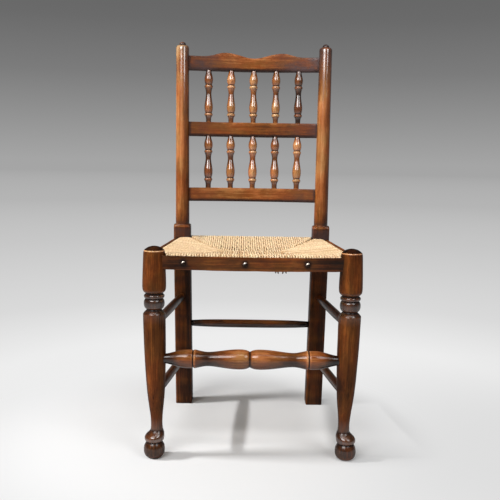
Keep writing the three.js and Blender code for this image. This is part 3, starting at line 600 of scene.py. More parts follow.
def spindle(row, number, low, high, runs, radius, tone):
    share = (number - MIDDLE_SPINDLE) * SPINDLE_PITCH_SHARE
    start, end = (on_back(share * post_x(z), z) for z in (low, high))
    runs = [scaled(run, 0, (end - start).length, radius) for run in runs]
    runs = with_tenons(runs, SPINDLE_TENON, SPINDLE_TENON_RADIUS)
    # Each spindle is darker at its left and right flanks: painted shade.
    turned(f"{row}_turning_{number}", f"{row}_spindle_{number}", outline(runs, FINE_STEP), THIN_SIDES,
           along(start, end), tone, 0.9, lambda angle: 0.02 - 0.24 * np.abs(np.cos(angle)) ** 3,
           detail=3.2 * MM, bulge=0.7)


def front_stretcher():
    face = FRONT_X - SHAFT_RADIUS
    left, right = ([[[STRETCHER_SHIFT + a * (to - STRETCHER_SHIFT), b * STRETCHER_RADIUS] for a, b in run]
                    for run in STRETCHER_RUNS] for to in (-face, face))
    runs = with_tenons([run[::-1] for run in left[::-1]] + right, STRETCHER_TENON, right[-1][-1][1])
    middle = Vector((0, FRONT_Y, STRETCHER_Z))
    place = along(middle, middle + Vector((FRONT_X, 0, 0)))
    turned("front_turning", "front_stretcher", outline(runs, FRONT_STEP), THICK_SIDES, place, 0.44, 0.36,
           painted_underside_shade, bulge=1.1, worn_and_lit=1.6)


def plain_stretcher(name, node, start, end, start_face, end_face, radius, tone, bulge):
    length = (end - start).length
    span = (length - start_face - end_face) / 2
    half = [[a * span, b * radius] for a, b in PLAIN_SHARES]
    body = [[start_face + a, b] for a, b in half] + [[length - end_face - a, b] for a, b in half[-2::-1]]
    line = outline(with_tenons([body], STRETCHER_TENON, half[0][1]), PLAIN_STEP)
    turned(name, node, line, THIN_SIDES, along(start, end), tone, 0.3, painted_underside_shade, bulge=bulge)


def stretchers():
    front_stretcher()
    half = POST_WIDTH / 2
    reach = post_x(REAR_STRETCHER_Z)
    start, end = (Vector((side * reach, REAR_Y, REAR_STRETCHER_Z)) for side, _ in SIDES)
    plain_stretcher("rear_bar", "rear_stretcher", start, end, half, half, REAR_STRETCHER_RADIUS, 0.02, 1.8)
    for side, word in SIDES:
        for level, (front_z, rear_z) in (("upper", UPPER_SIDE_Z), ("lower", LOWER_SIDE_Z)):
            start = Vector((side * FRONT_X, FRONT_Y, front_z))
            end = Vector((side * post_x(rear_z), REAR_Y, rear_z))
            plain_stretcher(f"{level}_side_bar_{word}", f"{level}_side_stretcher_{word}", start, end,
                            SHAFT_RADIUS, half, SIDE_STRETCHER_RADIUS, 0.16, 0)


# Edge strips and nails

SIDE_REAR_X = post_x(SEAT_HEIGHT - RAIL_DEEP / 2)
SIDE_TURN = math.atan((FRONT_X - SIDE_REAR_X) / SEAT_DEPTH)


def beside_rail(y, reach):
    """Distance from the middle of the chair to a line beside a side rail, at a depth."""
    share = (y - FRONT_Y) / SEAT_DEPTH
    return FRONT_X + share * (SIDE_REAR_X - FRONT_X) + reach / math.cos(SIDE_TURN)


STRIP_MIDDLE_REACH = RUSH_REACH + GAP + STRIP_THICKNESS / 2
STRIP_OUTER_REACH = RUSH_REACH + GAP + STRIP_THICKNESS
STRIP_MIDDLE_Z = SEAT_HEIGHT - STRIP_HEIGHT / 2


def edge_strip(name, node, start, end, sag, nails):
    """A thin bar from start to end, whose outside is to the right of that way. It is darker round
    the nails, for stain and painted shade; the nails are given by their way along it."""
    length = (end - start).length
    direction = (end - start).normalized()
    outward = direction.cross(Vector((0, 0, 1)))
    seed = seed_of(name)
    ways = np.linspace(0, length, STRIP_STATIONS)
    shares = 2 * ways / length - 1
    half = STRIP_HEIGHT / 2
    rings, grain, wear, grime = [], [], [], []
    for way, share, wave in zip(ways, shares, waver(seed, ways, 0.12)):
        middle = start + direction * way - Vector((0, 0, sag * (1 - share**2)))
        section, edges = board_section(STRIP_THICKNESS, -half - 0.35 * MM * wave, half + 0.25 * MM * wave,
                                       STRIP_EDGE)
        section = section[::-1]
        rings.append([middle + outward * a + Vector((0, 0, up)) for a, up in section])
        grain.append([(a, up + 0.17 * seed, way) for a, up in section])
        # Darker round each nail, for stain and painted shade.
        near = [min(math.hypot(way - at, up) for at in nails) for _, up in section]
        grime.append(np.clip(1.25 - np.array(near) / (9 * MM), 0, 0.85))
        wear.append(edges[::-1] * (0.35 + 0.25 * wave))
    near_end = np.clip((np.abs(shares) - 0.68) / 0.2, 0, 1)
    wood_piece(name, node, rings, grain, sharp=50, grime=grime, wear=np.clip(wear, 0, 1),
               tone=0.41 + 0.09 * waver(seed + 3, ways, 0.3) - 0.19 * near_end, polish=0.1 + 0 * ways)


def nail(node, on_face, outward):
    """A domed nail with its shank through the strip."""
    neck = 2 * NAIL_SHANK - NAIL_LENGTH
    line = outline([[[-NAIL_LENGTH, NAIL_SHANK / 4], [neck, NAIL_SHANK]],
                    [[neck, NAIL_SHANK], [GAP, NAIL_SHANK]],
                    scaled(NAIL_RUN, GAP, NAIL_HEIGHT, NAIL_RADIUS)], 0.6 * MM)
    angle = circle(NAIL_SIDES)
    dents = 1 + 0.012 * np.sin(3 * angle + 900 * line[:, :1] + seed_of(node))
    rings = round_rings(line[:, 1:] * dents, angle, line[:, 0])
    add_piece(node.replace("nail", "dome"), node, [rings], NAIL_METAL,
              along(on_face, on_face + outward), sharp=60)


def seat_rail(node, start, end, end_face, drop, edge):
    """A bar inside the rush with a round tenon at each end, whose top lies low enough for the cords."""
    length = (end - start).length
    section, _ = board_section(2 * RAIL_HALF, -RAIL_DEEP / 2, RAIL_DEEP / 2 - drop, edge)
    tenon = section / np.linalg.norm(section, axis=1)[:, None] * RAIL_TENON_RADIUS
    first, last = end_face[0] + GAP, length - end_face[1] - GAP
    body = [(z, section) for z in np.linspace(first, last, 30)]
    stations = [(RAIL_TENON_STOP, tenon), (first, tenon), *body, (last, tenon),
                (length - RAIL_TENON_STOP, tenon)]
    rings = [[(a, up, z) for a, up in ring] for z, ring in stations]
    add_piece(node.replace("rail", "bar"), node, [rings], BARE, along(start, end))


def seat_rails():
    z = SEAT_HEIGHT - RAIL_DEEP / 2
    half = POST_WIDTH / 2
    front, rear = ([Vector((side * x, y, z)) for side, _ in SIDES]
                   for x, y in ((FRONT_X, FRONT_Y), (SIDE_REAR_X, REAR_Y)))
    seat_rail("seat_rail_front", *front, (BLOCK_RADIUS, BLOCK_RADIUS), RAIL_DROP, SEAT_RAIL_EDGE)
    seat_rail("seat_rail_rear", *rear, (half, half), RAIL_DROP, SEAT_RAIL_EDGE)
    for start, end, (_, word) in zip(front, rear, SIDES):
        seat_rail(f"seat_rail_{word}", start, end, (BLOCK_RADIUS, half), SIDE_RAIL_DROP, SIDE_RAIL_EDGE)


def strips_and_nails():
    y = FRONT_Y - STRIP_MIDDLE_REACH
    reach = FRONT_X - 0.6 * BLOCK_RADIUS
    start, end = (Vector((side * reach, y, STRIP_MIDDLE_Z)) for side, _ in SIDES)
    edge_strip("front_strip", "edge_strip_front", start, end, STRIP_SAG,
               [share * FRONT_X + reach for share in FRONT_NAIL_SHARES])
    for i, share in enumerate(FRONT_NAIL_SHARES, 1):
        z = STRIP_MIDDLE_Z - STRIP_SAG * (1 - share**2)
        nail(f"nail_front_{i}", Vector((share * FRONT_X, FRONT_Y - STRIP_OUTER_REACH, z)), Vector((0, -1, 0)))
    first, last = FRONT_Y + 0.55 * BLOCK_RADIUS, REAR_Y - 0.45 * POST_WIDTH
    depths = [(FRONT_Y + REAR_Y) / 2 + share * SEAT_DEPTH / 2 for share in SIDE_NAIL_SHARES]
    for side, word in SIDES:
        start, end = (Vector((side * beside_rail(y, STRIP_MIDDLE_REACH), y, STRIP_MIDDLE_Z))
                      for y in (first, last)[::side])
        places = [abs(y - start.y) / math.cos(SIDE_TURN) for y in depths]
        edge_strip(f"{word}_strip", f"edge_strip_{word}", start, end, 0, places)
        outward = Vector((side * math.cos(SIDE_TURN), math.sin(SIDE_TURN), 0))
        for i, y in enumerate(depths, 1):
            face = Vector((side * beside_rail(y, STRIP_OUTER_REACH), y, STRIP_MIDDLE_Z))
            nail(f"nail_{word}_{i}", face, outward)


# Rush seat

CORD_PITCH = 5.7 * MM
CORD_STEP = 2.2 * MM
CORD_SIDES = 10
CORD_TWIST = 13 * MM  # length of one turn of a cord's strands
CORD_TOP = 2.35 * MM  # half the thickness of a cord over the rails
CORD_UNDER = RUSH_WRAP / 2  # half the thickness beside and under them
CORD_SHIFT = 3.7  # between the patterns of two cords
SEAM_DRIFT = 7 * MM  # how far the outermost long cords bend aside
STUFFING_REACH = 2.4  # from the cords' outside to the stuffing, over half their thickness
STUFFING_SUNK = 0.26  # share of the sag that the cords have where the stuffing starts
OUTER_FRONT = FRONT_Y - RUSH_REACH
OUTER_REAR = REAR_Y + RUSH_REACH
SEAM_X = 0.29 * FRONT_X
SEAM_Y = (FRONT_Y + REAR_Y) / 2 - 0.03 * SEAT_DEPTH / 2
RUSH_TOP = SEAT_HEIGHT + RUSH_CROWN
RUSH_BOTTOM = SEAT_HEIGHT - RAIL_DEEP - RUSH_WRAP
RUSH_MIDDLE_Z = (RUSH_TOP + RUSH_BOTTOM) / 2
MIDDLE_UNDER = RUSH_TOP - RUSH_SAG - RUSH_MIDDLE
SIDE_TOP_DROP = 2 * MM  # how much lower the side panels lie over their rails
SAG_SHARES = ([0, 0.06, 0.3, 0.5, 0.75, 1], [0, 0.06, 0.5, 0.76, 0.95, 1])
RUSH_END_RADIUS = 2.3 * MM
RUSH_END_SIDES = 8
# Across from the middle, how far below the rush, and how far it swings aside
RUSH_ENDS = [(50 * MM, 9.5 * MM, -1 * MM), (53 * MM, 10.5 * MM, 2 * MM), (66 * MM, 10.5 * MM, -2 * MM),
             (70 * MM, 9.5 * MM, 2 * MM)]
SEAM_STARTS = {OUTER_FRONT: (FRONT_X - 0.96 * BLOCK_RADIUS, FRONT_Y + 0.96 * BLOCK_RADIUS),
               OUTER_REAR: (SIDE_REAR_X - POST_WIDTH / 2, REAR_Y - POST_WIDTH / 2)}


def top_height(share):
    return RUSH_TOP - RUSH_SAG * np.interp(share, *SAG_SHARES)


def bottom_height(share):
    return RUSH_BOTTOM + (MIDDLE_UNDER - RUSH_BOTTOM) * np.clip(share, 0, 1)


def cord_line(reach, share_at_seam, beside):
    """The centreline of one cord from the seam over its rail and back to the seam underneath,
    beside is 1 over a side rail. Returns [inward from the outside, height] points, the half
    thickness and the way along the cord at each."""
    inner = RUSH_REACH + RAIL_HALF
    drop = beside * SIDE_TOP_DROP
    outside, top, under = CORD_UNDER, RUSH_TOP - CORD_TOP - drop, RUSH_BOTTOM + CORD_UNDER
    steps = max(2, int((reach - inner) / (3 * MM)))
    ins = np.linspace(reach - 2.5 * MM, inner, steps) if reach > inner + 4 * MM else np.array([inner])
    share = share_at_seam * ins / reach
    over = np.stack([ins, top_height(share) - CORD_TOP - drop * (1 - np.minimum(1, share / 0.4))], 1)
    back = np.stack([ins, bottom_height(share) + CORD_UNDER], 1)[::-1]
    edge = 1.6 * MM
    if beside:
        shoulder = [[RUSH_REACH, top - 0.5 * MM], [6.6 * MM, top - 1.6 * MM], [4.2 * MM, top - 3.2 * MM],
                    [2.6 * MM, top - 5.4 * MM], [outside, top - 8.5 * MM]]
    else:
        shoulder = [[RUSH_REACH, top], [RUSH_WRAP + edge, top - 0.1 * MM],
                    [outside + 0.8 * MM, top - 1.1 * MM], [outside, top - 3.4 * MM]]
    points = [[reach - 0.4 * MM, over[0][1] - 4.5 * MM], [reach - 1.2 * MM, over[0][1] - 1.6 * MM], *over,
              *shoulder, [outside, SEAT_HEIGHT - RAIL_DEEP / 2], [outside, under + 3.4 * MM],
              [outside + 0.8 * MM, under + 1 * MM], [RUSH_WRAP + edge, under], [RUSH_REACH, under], *back,
              [reach - 1.2 * MM, back[-1][1] + 1.2 * MM], [reach - 0.4 * MM, back[-1][1] + 3.5 * MM]]
    line = smooth_line(points, CORD_STEP / 2)
    lengths = np.linalg.norm(np.diff(line, axis=0), axis=1)
    steps = lengths / np.where(line[1:, 1] > SEAT_HEIGHT - RAIL_DEEP / 2, CORD_STEP, 3 * CORD_STEP)
    ways, counted = (np.concatenate([[0], np.cumsum(values)]) for values in (lengths, steps))
    even = np.interp(np.linspace(0, counted[-1], max(8, int(counted[-1]))), counted, ways)
    line = np.stack([np.interp(even, ways, line[:, k]) for k in (0, 1)], 1)
    high = np.clip((line[:, 1] - (SEAT_HEIGHT - 4 * MM)) / (5 * MM), 0, 1)
    inside = np.clip((line[:, 0] - inner) / (10 * MM), 0, 1) * (line[:, 1] > RUSH_MIDDLE_Z - 8 * MM)
    thick = CORD_UNDER + (CORD_TOP - CORD_UNDER) * np.maximum(high, inside)
    return line, thick, even


def panel(name, cords, inward, sideways, beside, fresh=0.0):
    """One panel of the seat: cords are (outside point, length to the seam, share there, drift
    sideways at the seam). Fresh is how pale its darkest cords are."""
    rng = random.Random(name)
    inward, sideways = np.array(inward, float), np.array(sideways, float)
    stacks, strands, hues, grooves = [], [], [], []
    angle = circle(CORD_SIDES)
    for number, (outside, reach, share, drift) in enumerate(cords):
        line, thick, ways = cord_line(reach, share, beside)
        slide = drift * np.clip(line[:, 0] / reach, 0, 1) ** 1.3 + 0.7 * MM * waver(rng.random(), ways, 0.05)
        lift = 0.45 * MM * waver(rng.random(), ways, 0.035) * np.clip(line[:, 0] / (20 * MM), 0, 1)
        points = np.array(outside) + np.outer(line[:, 0], inward) + np.outer(slide, sideways)
        points[:, 2] = line[:, 1] + np.where(line[:, 1] > RUSH_MIDDLE_Z - 4 * MM, lift, 0)
        tangent = np.gradient(points, axis=0)
        tangent /= np.linalg.norm(tangent, axis=1)[:, None]
        across = sideways - tangent * (tangent @ sideways)[:, None]
        across /= np.linalg.norm(across, axis=1)[:, None]
        normal = np.cross(tangent, across)
        turn = 2 * math.pi * ways / (CORD_TWIST * rng.uniform(0.85, 1.2)) + rng.uniform(0, 6.3)
        around = angle - turn[:, None]
        twisted = np.cos(2 * around)
        lobes = 1 + 0.17 * twisted + 0.03 * np.cos(3 * angle + 5 * turn[:, None])
        wide = CORD_PITCH / 2 * (0.89 + 0.1 * waver(rng.random(), ways, 0.05))
        stacks.append(points[:, None] + across[:, None] * (lobes * np.cos(angle) * wide[:, None])[:, :, None]
                      + normal[:, None] * (lobes * np.sin(angle) * thick[:, None])[:, :, None])
        strand = np.stack([np.cos(around), np.sin(around), 0 * around + ways[:, None]], 2).reshape(-1, 3)
        strands += [strand + [number * CORD_SHIFT, 0, 0], strand[:1], strand[-1:]]
        hues.append(np.full(len(strand) + 2, fresh + (1 - fresh) * rng.random()))
        # Darker in the twist between strands and where the cords tuck in at the seam: painted shade.
        near_seam = np.clip(1 - (reach - line[:, 0]) / (6 * MM), 0, 1) * rng.uniform(0.3, 1.2)
        between = np.maximum(0.5 - 0.5 * twisted, np.clip(2 * near_seam, 0, 1)[:, None])
        grooves.append([*between.ravel(), 0, 0])
    piece = add_piece(name, "rush_seat", stacks, RUSH, sharp=70)
    for label, parts in (("strand", strands), ("hue", hues), ("groove", grooves)):
        attribute(piece, label, np.concatenate(parts))


def long_panel(name, outer_y, way, fresh):
    """The front or the rear panel, whose cords run front to back."""
    gap, start_y = SEAM_STARTS[outer_y]
    cords = []
    count = int(2 * gap / CORD_PITCH)
    for x in np.linspace(CORD_PITCH / 2 - gap, gap - CORD_PITCH / 2, count):
        share = min(1, (gap - abs(x)) / (gap - SEAM_X))
        reach = abs(start_y + share * (SEAM_Y - start_y) - outer_y)
        drift = -math.copysign(SEAM_DRIFT, x) * max(0, (abs(x) - SEAM_X) / (gap - SEAM_X)) ** 1.5
        cords.append(((x, outer_y, 0), reach, share, drift))
    panel(name, cords, (0, way, 0), (1, 0, 0), 0, fresh)


def side_panel(name, side):
    """A side panel, whose cords run from side to side."""
    first = FRONT_Y + BLOCK_RADIUS + 0.6 * CORD_PITCH
    last = REAR_Y - POST_WIDTH / 2 - 0.6 * CORD_PITCH
    cords = []
    for y in np.linspace(first, last, int((last - first) / CORD_PITCH) + 1):
        start_x, start_y = SEAM_STARTS[OUTER_FRONT if y < SEAM_Y else OUTER_REAR]
        share = (y - start_y) / (SEAM_Y - start_y)
        outer = beside_rail(y, RUSH_REACH)
        cords.append(((side * outer, y, 0), outer - start_x - share * (SEAM_X - start_x), share, 0))
    panel(name, cords, (-side, 0, 0), (0, 1, 0), 1)


def stuffing():
    """The padding between the two layers of cords, dark as painted shade seen in the gaps between them."""
    spans = 12
    middles = {side: Vector((side * SEAM_X, SEAM_Y, 0)) for side, _ in SIDES}
    (front_x, front_y), (rear_x, rear_y) = SEAM_STARTS[OUTER_FRONT], SEAM_STARTS[OUTER_REAR]
    corners = [(-front_x, front_y), (front_x, front_y), (rear_x, rear_y), (-rear_x, rear_y)]
    shares = (0.03, 0.2, 0.35, 0.55, 0.75, 0.97)
    rings = []
    for share, upper in [(s, 0) for s in shares[::-1]] + [(s, 1) for s in shares]:
        ring = [Vector((x, y, 0)).lerp(middles[math.copysign(1, x)], share) for x, y in corners]
        z = bottom_height(share) + STUFFING_REACH * CORD_UNDER
        if upper:
            sunk = STUFFING_SUNK + (1 - STUFFING_SUNK) * share
            z = top_height(sunk) - STUFFING_REACH * CORD_TOP
        points = [a.lerp(b, k / spans) for a, b in zip(ring, ring[1:] + ring[:1]) for k in range(spans)]
        rings.append([(p.x, p.y, z) for p in points])
    add_piece("rush_stuffing", "rush_seat", [rings], STUFFING)


def rush_ends():
    """Cut ends of rush that peep out under the front strip."""
    angle = circle(RUSH_END_SIDES)
    share = np.linspace(1, 0, 6)
    stacks = []
    for x, low, swing in RUSH_ENDS:
        radius = RUSH_END_RADIUS * (1 - 0.55 * share[:, None]**2)
        rings = round_rings(radius, angle, RUSH_BOTTOM + 2 * CORD_UNDER - share * (2 * CORD_UNDER + low))
        rings[:, :, 0] += x + swing * share[:, None]**2
        stacks.append(rings + [0, FRONT_Y - RAIL_HALF, 0])
    add_piece("rush_ends", "rush_seat", stacks, STUFFING)


def rush_seat():
    long_panel("rush_front", OUTER_FRONT, 1, 0)
    long_panel("rush_rear", OUTER_REAR, -1, 0.45)
    side_panel("rush_left", -1)
    side_panel("rush_right", 1)
    stuffing()
    rush_ends()


# Materials

class Net:
    """Short ways to add and join the nodes of a material or of the world."""

    def __init__(self, owner):
        owner.use_nodes = True
        self.owner = owner
        self.nodes, self.links = owner.node_tree.nodes, owner.node_tree.links

    def put(self, socket, value):
        if isinstance(value, bpy.types.NodeSocket):
            self.links.new(value, socket)
        else:
            socket.default_value = value

    def node(self, kind, inputs=None, **settings):
        made = self.nodes.new(kind)
        for key, value in settings.items():
            setattr(made, key, value)
        for key, value in (inputs or {}).items():
            self.put(made.inputs[key], value)
        return made

    def field(self, name, output="Fac"):
        return self.node("ShaderNodeAttribute", attribute_name=name).outputs[output]

    def place(self):
        """The place on the piece."""
        return self.node("ShaderNodeTexCoord").outputs["Object"]

    def math(self, operation, *values, clamp=False):
        made = self.node("ShaderNodeMath", dict(enumerate(values)), operation=operation, use_clamp=clamp)
        return made.outputs[0]

    def summed(self, total, *terms):
        """The total and each value times its share, kept within 0 and 1."""
        for value, share in terms:
            total = self.math("MULTIPLY_ADD", value, share, total)
        return self.math("ADD", total, 0, clamp=True)

    def vectors(self, operation, a, b, output="Vector"):
        return self.node("ShaderNodeVectorMath", {0: a, 1: b}, operation=operation).outputs[output]

    def noise(self, vector, stretch, detail=3.0, roughness=0.55, distortion=0.0):
        made = self.node("ShaderNodeTexNoise", {
            "Vector": self.vectors("MULTIPLY", vector, stretch), "Scale": 1.0, "Detail": detail,
            "Roughness": roughness, "Distortion": distortion})
        return made.outputs["Fac"]

    def mapped(self, value, low, high, to_low=0.0, to_high=1.0, smooth=True):
        made = self.node("ShaderNodeMapRange", {"Value": value, "From Min": low, "From Max": high,
                                                "To Min": to_low, "To Max": to_high},
                         interpolation_type="SMOOTHSTEP" if smooth else "LINEAR")
        return made.outputs["Result"]

    def mixed(self, factor, a, b, blend="MIX"):
        a, b = (value if isinstance(value, bpy.types.NodeSocket) else (*value, 1.0) for value in (a, b))
        made = self.node("ShaderNodeMix", {0: factor, 6: a, 7: b}, data_type="RGBA", blend_type=blend)
        return made.outputs[2]

    def ramp(self, value, stops, interpolation="EASE"):
        made = self.node("ShaderNodeValToRGB", {"Fac": value})
        made.color_ramp.interpolation = interpolation
        while len(made.color_ramp.elements) < len(stops):
            made.color_ramp.elements.new(0.5)
        for element, (place, colour) in zip(made.color_ramp.elements, stops):
            element.position = place
            element.color = (*colour, 1.0)
        return made.outputs["Color"]

    def greys(self, value, stops):
        """Greys over a value, from stops of the value and its grey."""
        low, high = stops[0][0], stops[-1][0]
        stops = [((at - low) / (high - low), (grey, grey, grey)) for at, grey in stops]
        return self.ramp(self.mapped(value, low, high, smooth=False), stops, "LINEAR")

    def bump(self, height, distance, strength, **under):
        """Bumps, which lie on those of another node if its Normal is given too."""
        inputs = {"Height": height, "Distance": distance, "Strength": strength, **under}
        return self.node("ShaderNodeBump", inputs).outputs["Normal"]

    def looked_at(self):
        """1 where the camera sees it, also by a mirror or through glass, and 0 for light."""
        path = self.node("ShaderNodeLightPath").outputs
        glassy = self.math("MAXIMUM", path["Is Glossy Ray"], path["Is Transmission Ray"])
        return self.math("MAXIMUM", path["Is Camera Ray"], glassy)

    def blend(self, share, a, b, output):
        """Puts a mix of the nodes a and b into the output."""
        made = self.node("ShaderNodeMixShader", {0: share, 1: a.outputs[0], 2: b.outputs[0]})
        self.links.new(made.outputs[0], self.nodes[output].inputs["Surface"])

    def finish(self, **sockets):
        surface = self.nodes["Principled BSDF"]
        for key, value in sockets.items():
            self.put(surface.inputs[key.replace("_", " ")], value)
        return self.owner


def new_net(name):
    return Net(bpy.data.materials.new(name))


def polished_wood(name, coat_roughness):
    """Dark reddish-brown wood with fibres, pores, blotches and a polish rubbed thin. Its colour also
    takes painted shade, painted highlights and a painted sheen from the attributes.
    """
    net = new_net(name)
    grain = net.field("grain", "Vector")
    tone, grime, wear, polish, sheen = map(net.field, ("tone", "grime", "wear", "polish", "haze"))
    sway = net.noise(grain, (9, 9, 5), detail=2)
    grain = net.vectors("ADD", grain, net.vectors("MULTIPLY", sway, (0.012, 0.009, 0)))
    figure = net.noise(grain, (130, 130, 4), distortion=0.6)
    fibre = net.noise(grain, (620, 620, 13), detail=4, roughness=0.65)
    pore = net.mapped(net.noise(grain, (1900, 1900, 60), detail=2), 0.6, 0.72)
    blotch = net.noise(grain, (22, 22, 13), detail=6, roughness=0.7)
    cast = net.noise(grain, (34, 34, 17))
    smear = net.noise(grain, (60, 60, 30), detail=5)
    patterns = ((figure, 0.45), (fibre, 0.5), (blotch, 0.6))
    middle = sum(share for _, share in patterns) / 2  # what the patterns add on the whole
    level = net.summed(net.math("SUBTRACT", tone, middle), *patterns, (wear, 0.22), (grime, -0.3),
                       (pore, -0.1))
    colour = net.ramp(level, [(0.0, (0.006, 0.002, 0.001)), (0.2, (0.03, 0.009, 0.002)),
                              (0.4, (0.09, 0.026, 0.005)), (0.6, (0.2, 0.059, 0.011)),
                              (0.8, (0.38, 0.15, 0.045)), (1.0, (0.62, 0.34, 0.15))])
    red, gold = (1.07, 0.93, 0.9), (0.96, 1.04, 1.04)
    colour = net.mixed(1.0, colour, net.mixed(net.mapped(cast, 0.38, 0.62), red, gold), "MULTIPLY")
    colour = net.mixed(net.math("MULTIPLY", grime, 0.85, clamp=True), colour, (0.025, 0.013, 0.01))
    # The painted sheen: a dull purple-grey reflection mixed into the colour, mottled by the blotches.
    haze = net.math("MULTIPLY", sheen, net.mapped(blotch, 0.3, 0.7, 1.35, 0.25))
    colour = net.mixed(haze, colour, (0.08, 0.049, 0.048))
    rough = net.summed(net.mapped(polish, 0, 1, 0.42, 0.22, smooth=False), (smear, 0.2), (grime, 0.25),
                       (pore, 0.12))
    shine = net.math("MULTIPLY", polish, net.mapped(smear, 0.3, 0.6, 0.7, 1.0))
    shine = net.math("MULTIPLY", shine, net.math("MULTIPLY_ADD", grime, -0.7, 1), clamp=True)
    height = net.math("MULTIPLY_ADD", pore, -0.5, net.math("MULTIPLY", fibre, 0.6))
    dents = net.bump(net.noise(grain, (60, 60, 14), detail=2), 0.0006, 0.1)
    normal = net.bump(height, 0.00018, 0.3, Normal=dents)
    return net.finish(Base_Color=colour, Roughness=rough, Normal=normal, Specular_IOR_Level=0.05,
                      Coat_Weight=shine, Coat_Roughness=coat_roughness, Coat_IOR=2.1)


def rush_material():
    """Twisted rush: pale straw strands with green, golden and brown leaves among them, and painted shade in
    the twist between strands.
    """
    net = new_net("rush")
    strand, hue, groove = net.field("strand", "Vector"), net.field("hue"), net.field("groove")
    leaf = net.noise(strand, (1.1, 1.1, 9))
    streak = net.noise(strand, (4.5, 4.5, 26), detail=4, roughness=0.65)
    fleck = net.noise(strand, (3, 3, 120), detail=2)
    patch = net.noise(net.place(), (30, 60, 14), detail=4)
    level = net.math("ADD", net.math("MULTIPLY", hue, 0.4), net.math("MULTIPLY", leaf, 0.6))
    colour = net.ramp(level, [(0.2, (0.5, 0.3, 0.13)), (0.4, (0.8, 0.56, 0.32)), (0.55, (0.92, 0.71, 0.45)),
                              (0.72, (0.92, 0.73, 0.45)), (0.9, (0.8, 0.65, 0.36))])
    for share, shade in ((net.mapped(patch, 0.48, 0.66, 0, 0.42), (0.88, 0.6, 0.42)),
                         (net.mapped(streak, 0.5, 0.72, 0, 0.8), (0.55, 0.34, 0.17)),
                         (net.mapped(fleck, 0.6, 0.74, 0, 0.75), (0.26, 0.13, 0.05)),
                         (net.mapped(groove, 0.5, 1, 0, 0.78), (0.42, 0.24, 0.1))):
        colour = net.mixed(share, colour, shade)
    return net.finish(Base_Color=colour, Roughness=net.mapped(streak, 0.2, 0.8, 0.42, 0.68),
                      Normal=net.bump(streak, 0.0005, 0.55), Specular_IOR_Level=0.4)


def rough_material(name, stretch, dark, pale, roughness, depth, strength):
    """A dull material with fibres from dark to pale."""
    net = new_net(name)
    fibre = net.noise(net.place(), stretch, detail=4)
    return net.finish(Base_Color=net.ramp(fibre, [(0.3, dark), (0.7, pale)]), Roughness=roughness,
                      Normal=net.bump(fibre, depth, strength))


def nail_metal():
    """Dulled domed heads with a painted highlight on their upper side and painted shade below."""
    net = new_net("nail_metal")
    spots = net.noise(net.place(), (700, 700, 700), detail=4)
    # Lighter towards the upper side of the head and darker below: painted highlight and painted shade.
    side = net.vectors("DOT_PRODUCT", net.place(), (-0.5, 1, 0), "Value")
    side = net.mapped(side, -1 * MM, 3.5 * MM)
    spots_and_painted_light = net.math("MULTIPLY_ADD", net.math("SUBTRACT", spots, 0.5), 0.3, side)
    colour = net.ramp(spots_and_painted_light, [(0.0, (0.03, 0.02, 0.016)), (0.4, (0.09, 0.065, 0.05)),
                             (0.9, (0.75, 0.66, 0.58))])
    return net.finish(Base_Color=colour, Metallic=1.0, Roughness=net.mapped(spots, 0.3, 0.7, 0.34, 0.24),
                      Normal=net.bump(spots, 0.0001, 0.3))


# Stage

CAMERA_AT = (-22.03 * MM, FRONT_Y - 1492.4 * MM, 658.9 * MM)
CAMERA_TURNS = (0.1262, 0.01, 0.0163)  # down, to the right, and over to the left
SENSOR_WIDTH = 36
FOCAL_SHARE = 695.9 / 500  # focal length over the picture's width
FLOOR_NEAR = 0.74  # grey of the floor that takes shadows
SHADOWS_AT = (-0.12, -0.08, 0)  # the middle of the part of the floor that takes shadows
SHADOW_REACH = (0.28, 0.6)  # where it starts to end, and where it ends
PAINTED_SHADOW_AT = (0.7, -0.2, 0)  # the middle of a painted shadow in the floor's glow, right of the chair
PAINTED_SHADOW_REACH = (0.15, 0.9)
PAINTED_SHADOW_SHARE = 0.86
# Greys of the floor by distance, and of the background by height
FLOOR_FADE = [(0, 0.87), (0.9, 0.85), (1.6, 0.7), (3.0, 0.617), (4.2, 0.57), (10, 0.46), (40, 0.38)]
SKY = [(-0.02, 0.378), (0.0, 0.376), (0.06, 0.285), (0.12, 0.2), (0.19, 0.145), (0.25, 0.125), (0.6, 0.1)]


def floor():
    size = FLOOR_FADE[-1][0]
    ring = [(size * math.cos(angle), size * math.sin(angle), 0) for angle in circle(64)]
    mesh = bpy.data.meshes.new("floor")
    mesh.from_pydata(ring, [], [list(range(len(ring)))])
    net = new_net("floor")
    place = net.node("ShaderNodeNewGeometry").outputs["Position"]
    away, beside, to_painted_shadow = (net.vectors("DISTANCE", place, at, "Value")
                            for at in ((0, 0, 0), SHADOWS_AT, PAINTED_SHADOW_AT))
    colour = net.greys(net.math("POWER", away, 0.5), [(math.sqrt(at), grey) for at, grey in FLOOR_FADE])
    # The glow is dimmer round PAINTED_SHADOW_AT: a painted shadow of the chair on the floor.
    strength = net.mapped(to_painted_shadow, *PAINTED_SHADOW_REACH, PAINTED_SHADOW_SHARE, 1)
    glow = net.node("ShaderNodeEmission", {"Color": colour, "Strength": strength})
    seen = net.math("MULTIPLY", net.mapped(beside, *SHADOW_REACH), net.looked_at())
    net.blend(seen, net.nodes["Principled BSDF"], glow, "Material Output")
    mesh.materials.append(net.finish(Base_Color=(FLOOR_NEAR, FLOOR_NEAR, FLOOR_NEAR, 1), Roughness=0.9,
                                     Specular_IOR_Level=0.1))
    add_object("floor", mesh)


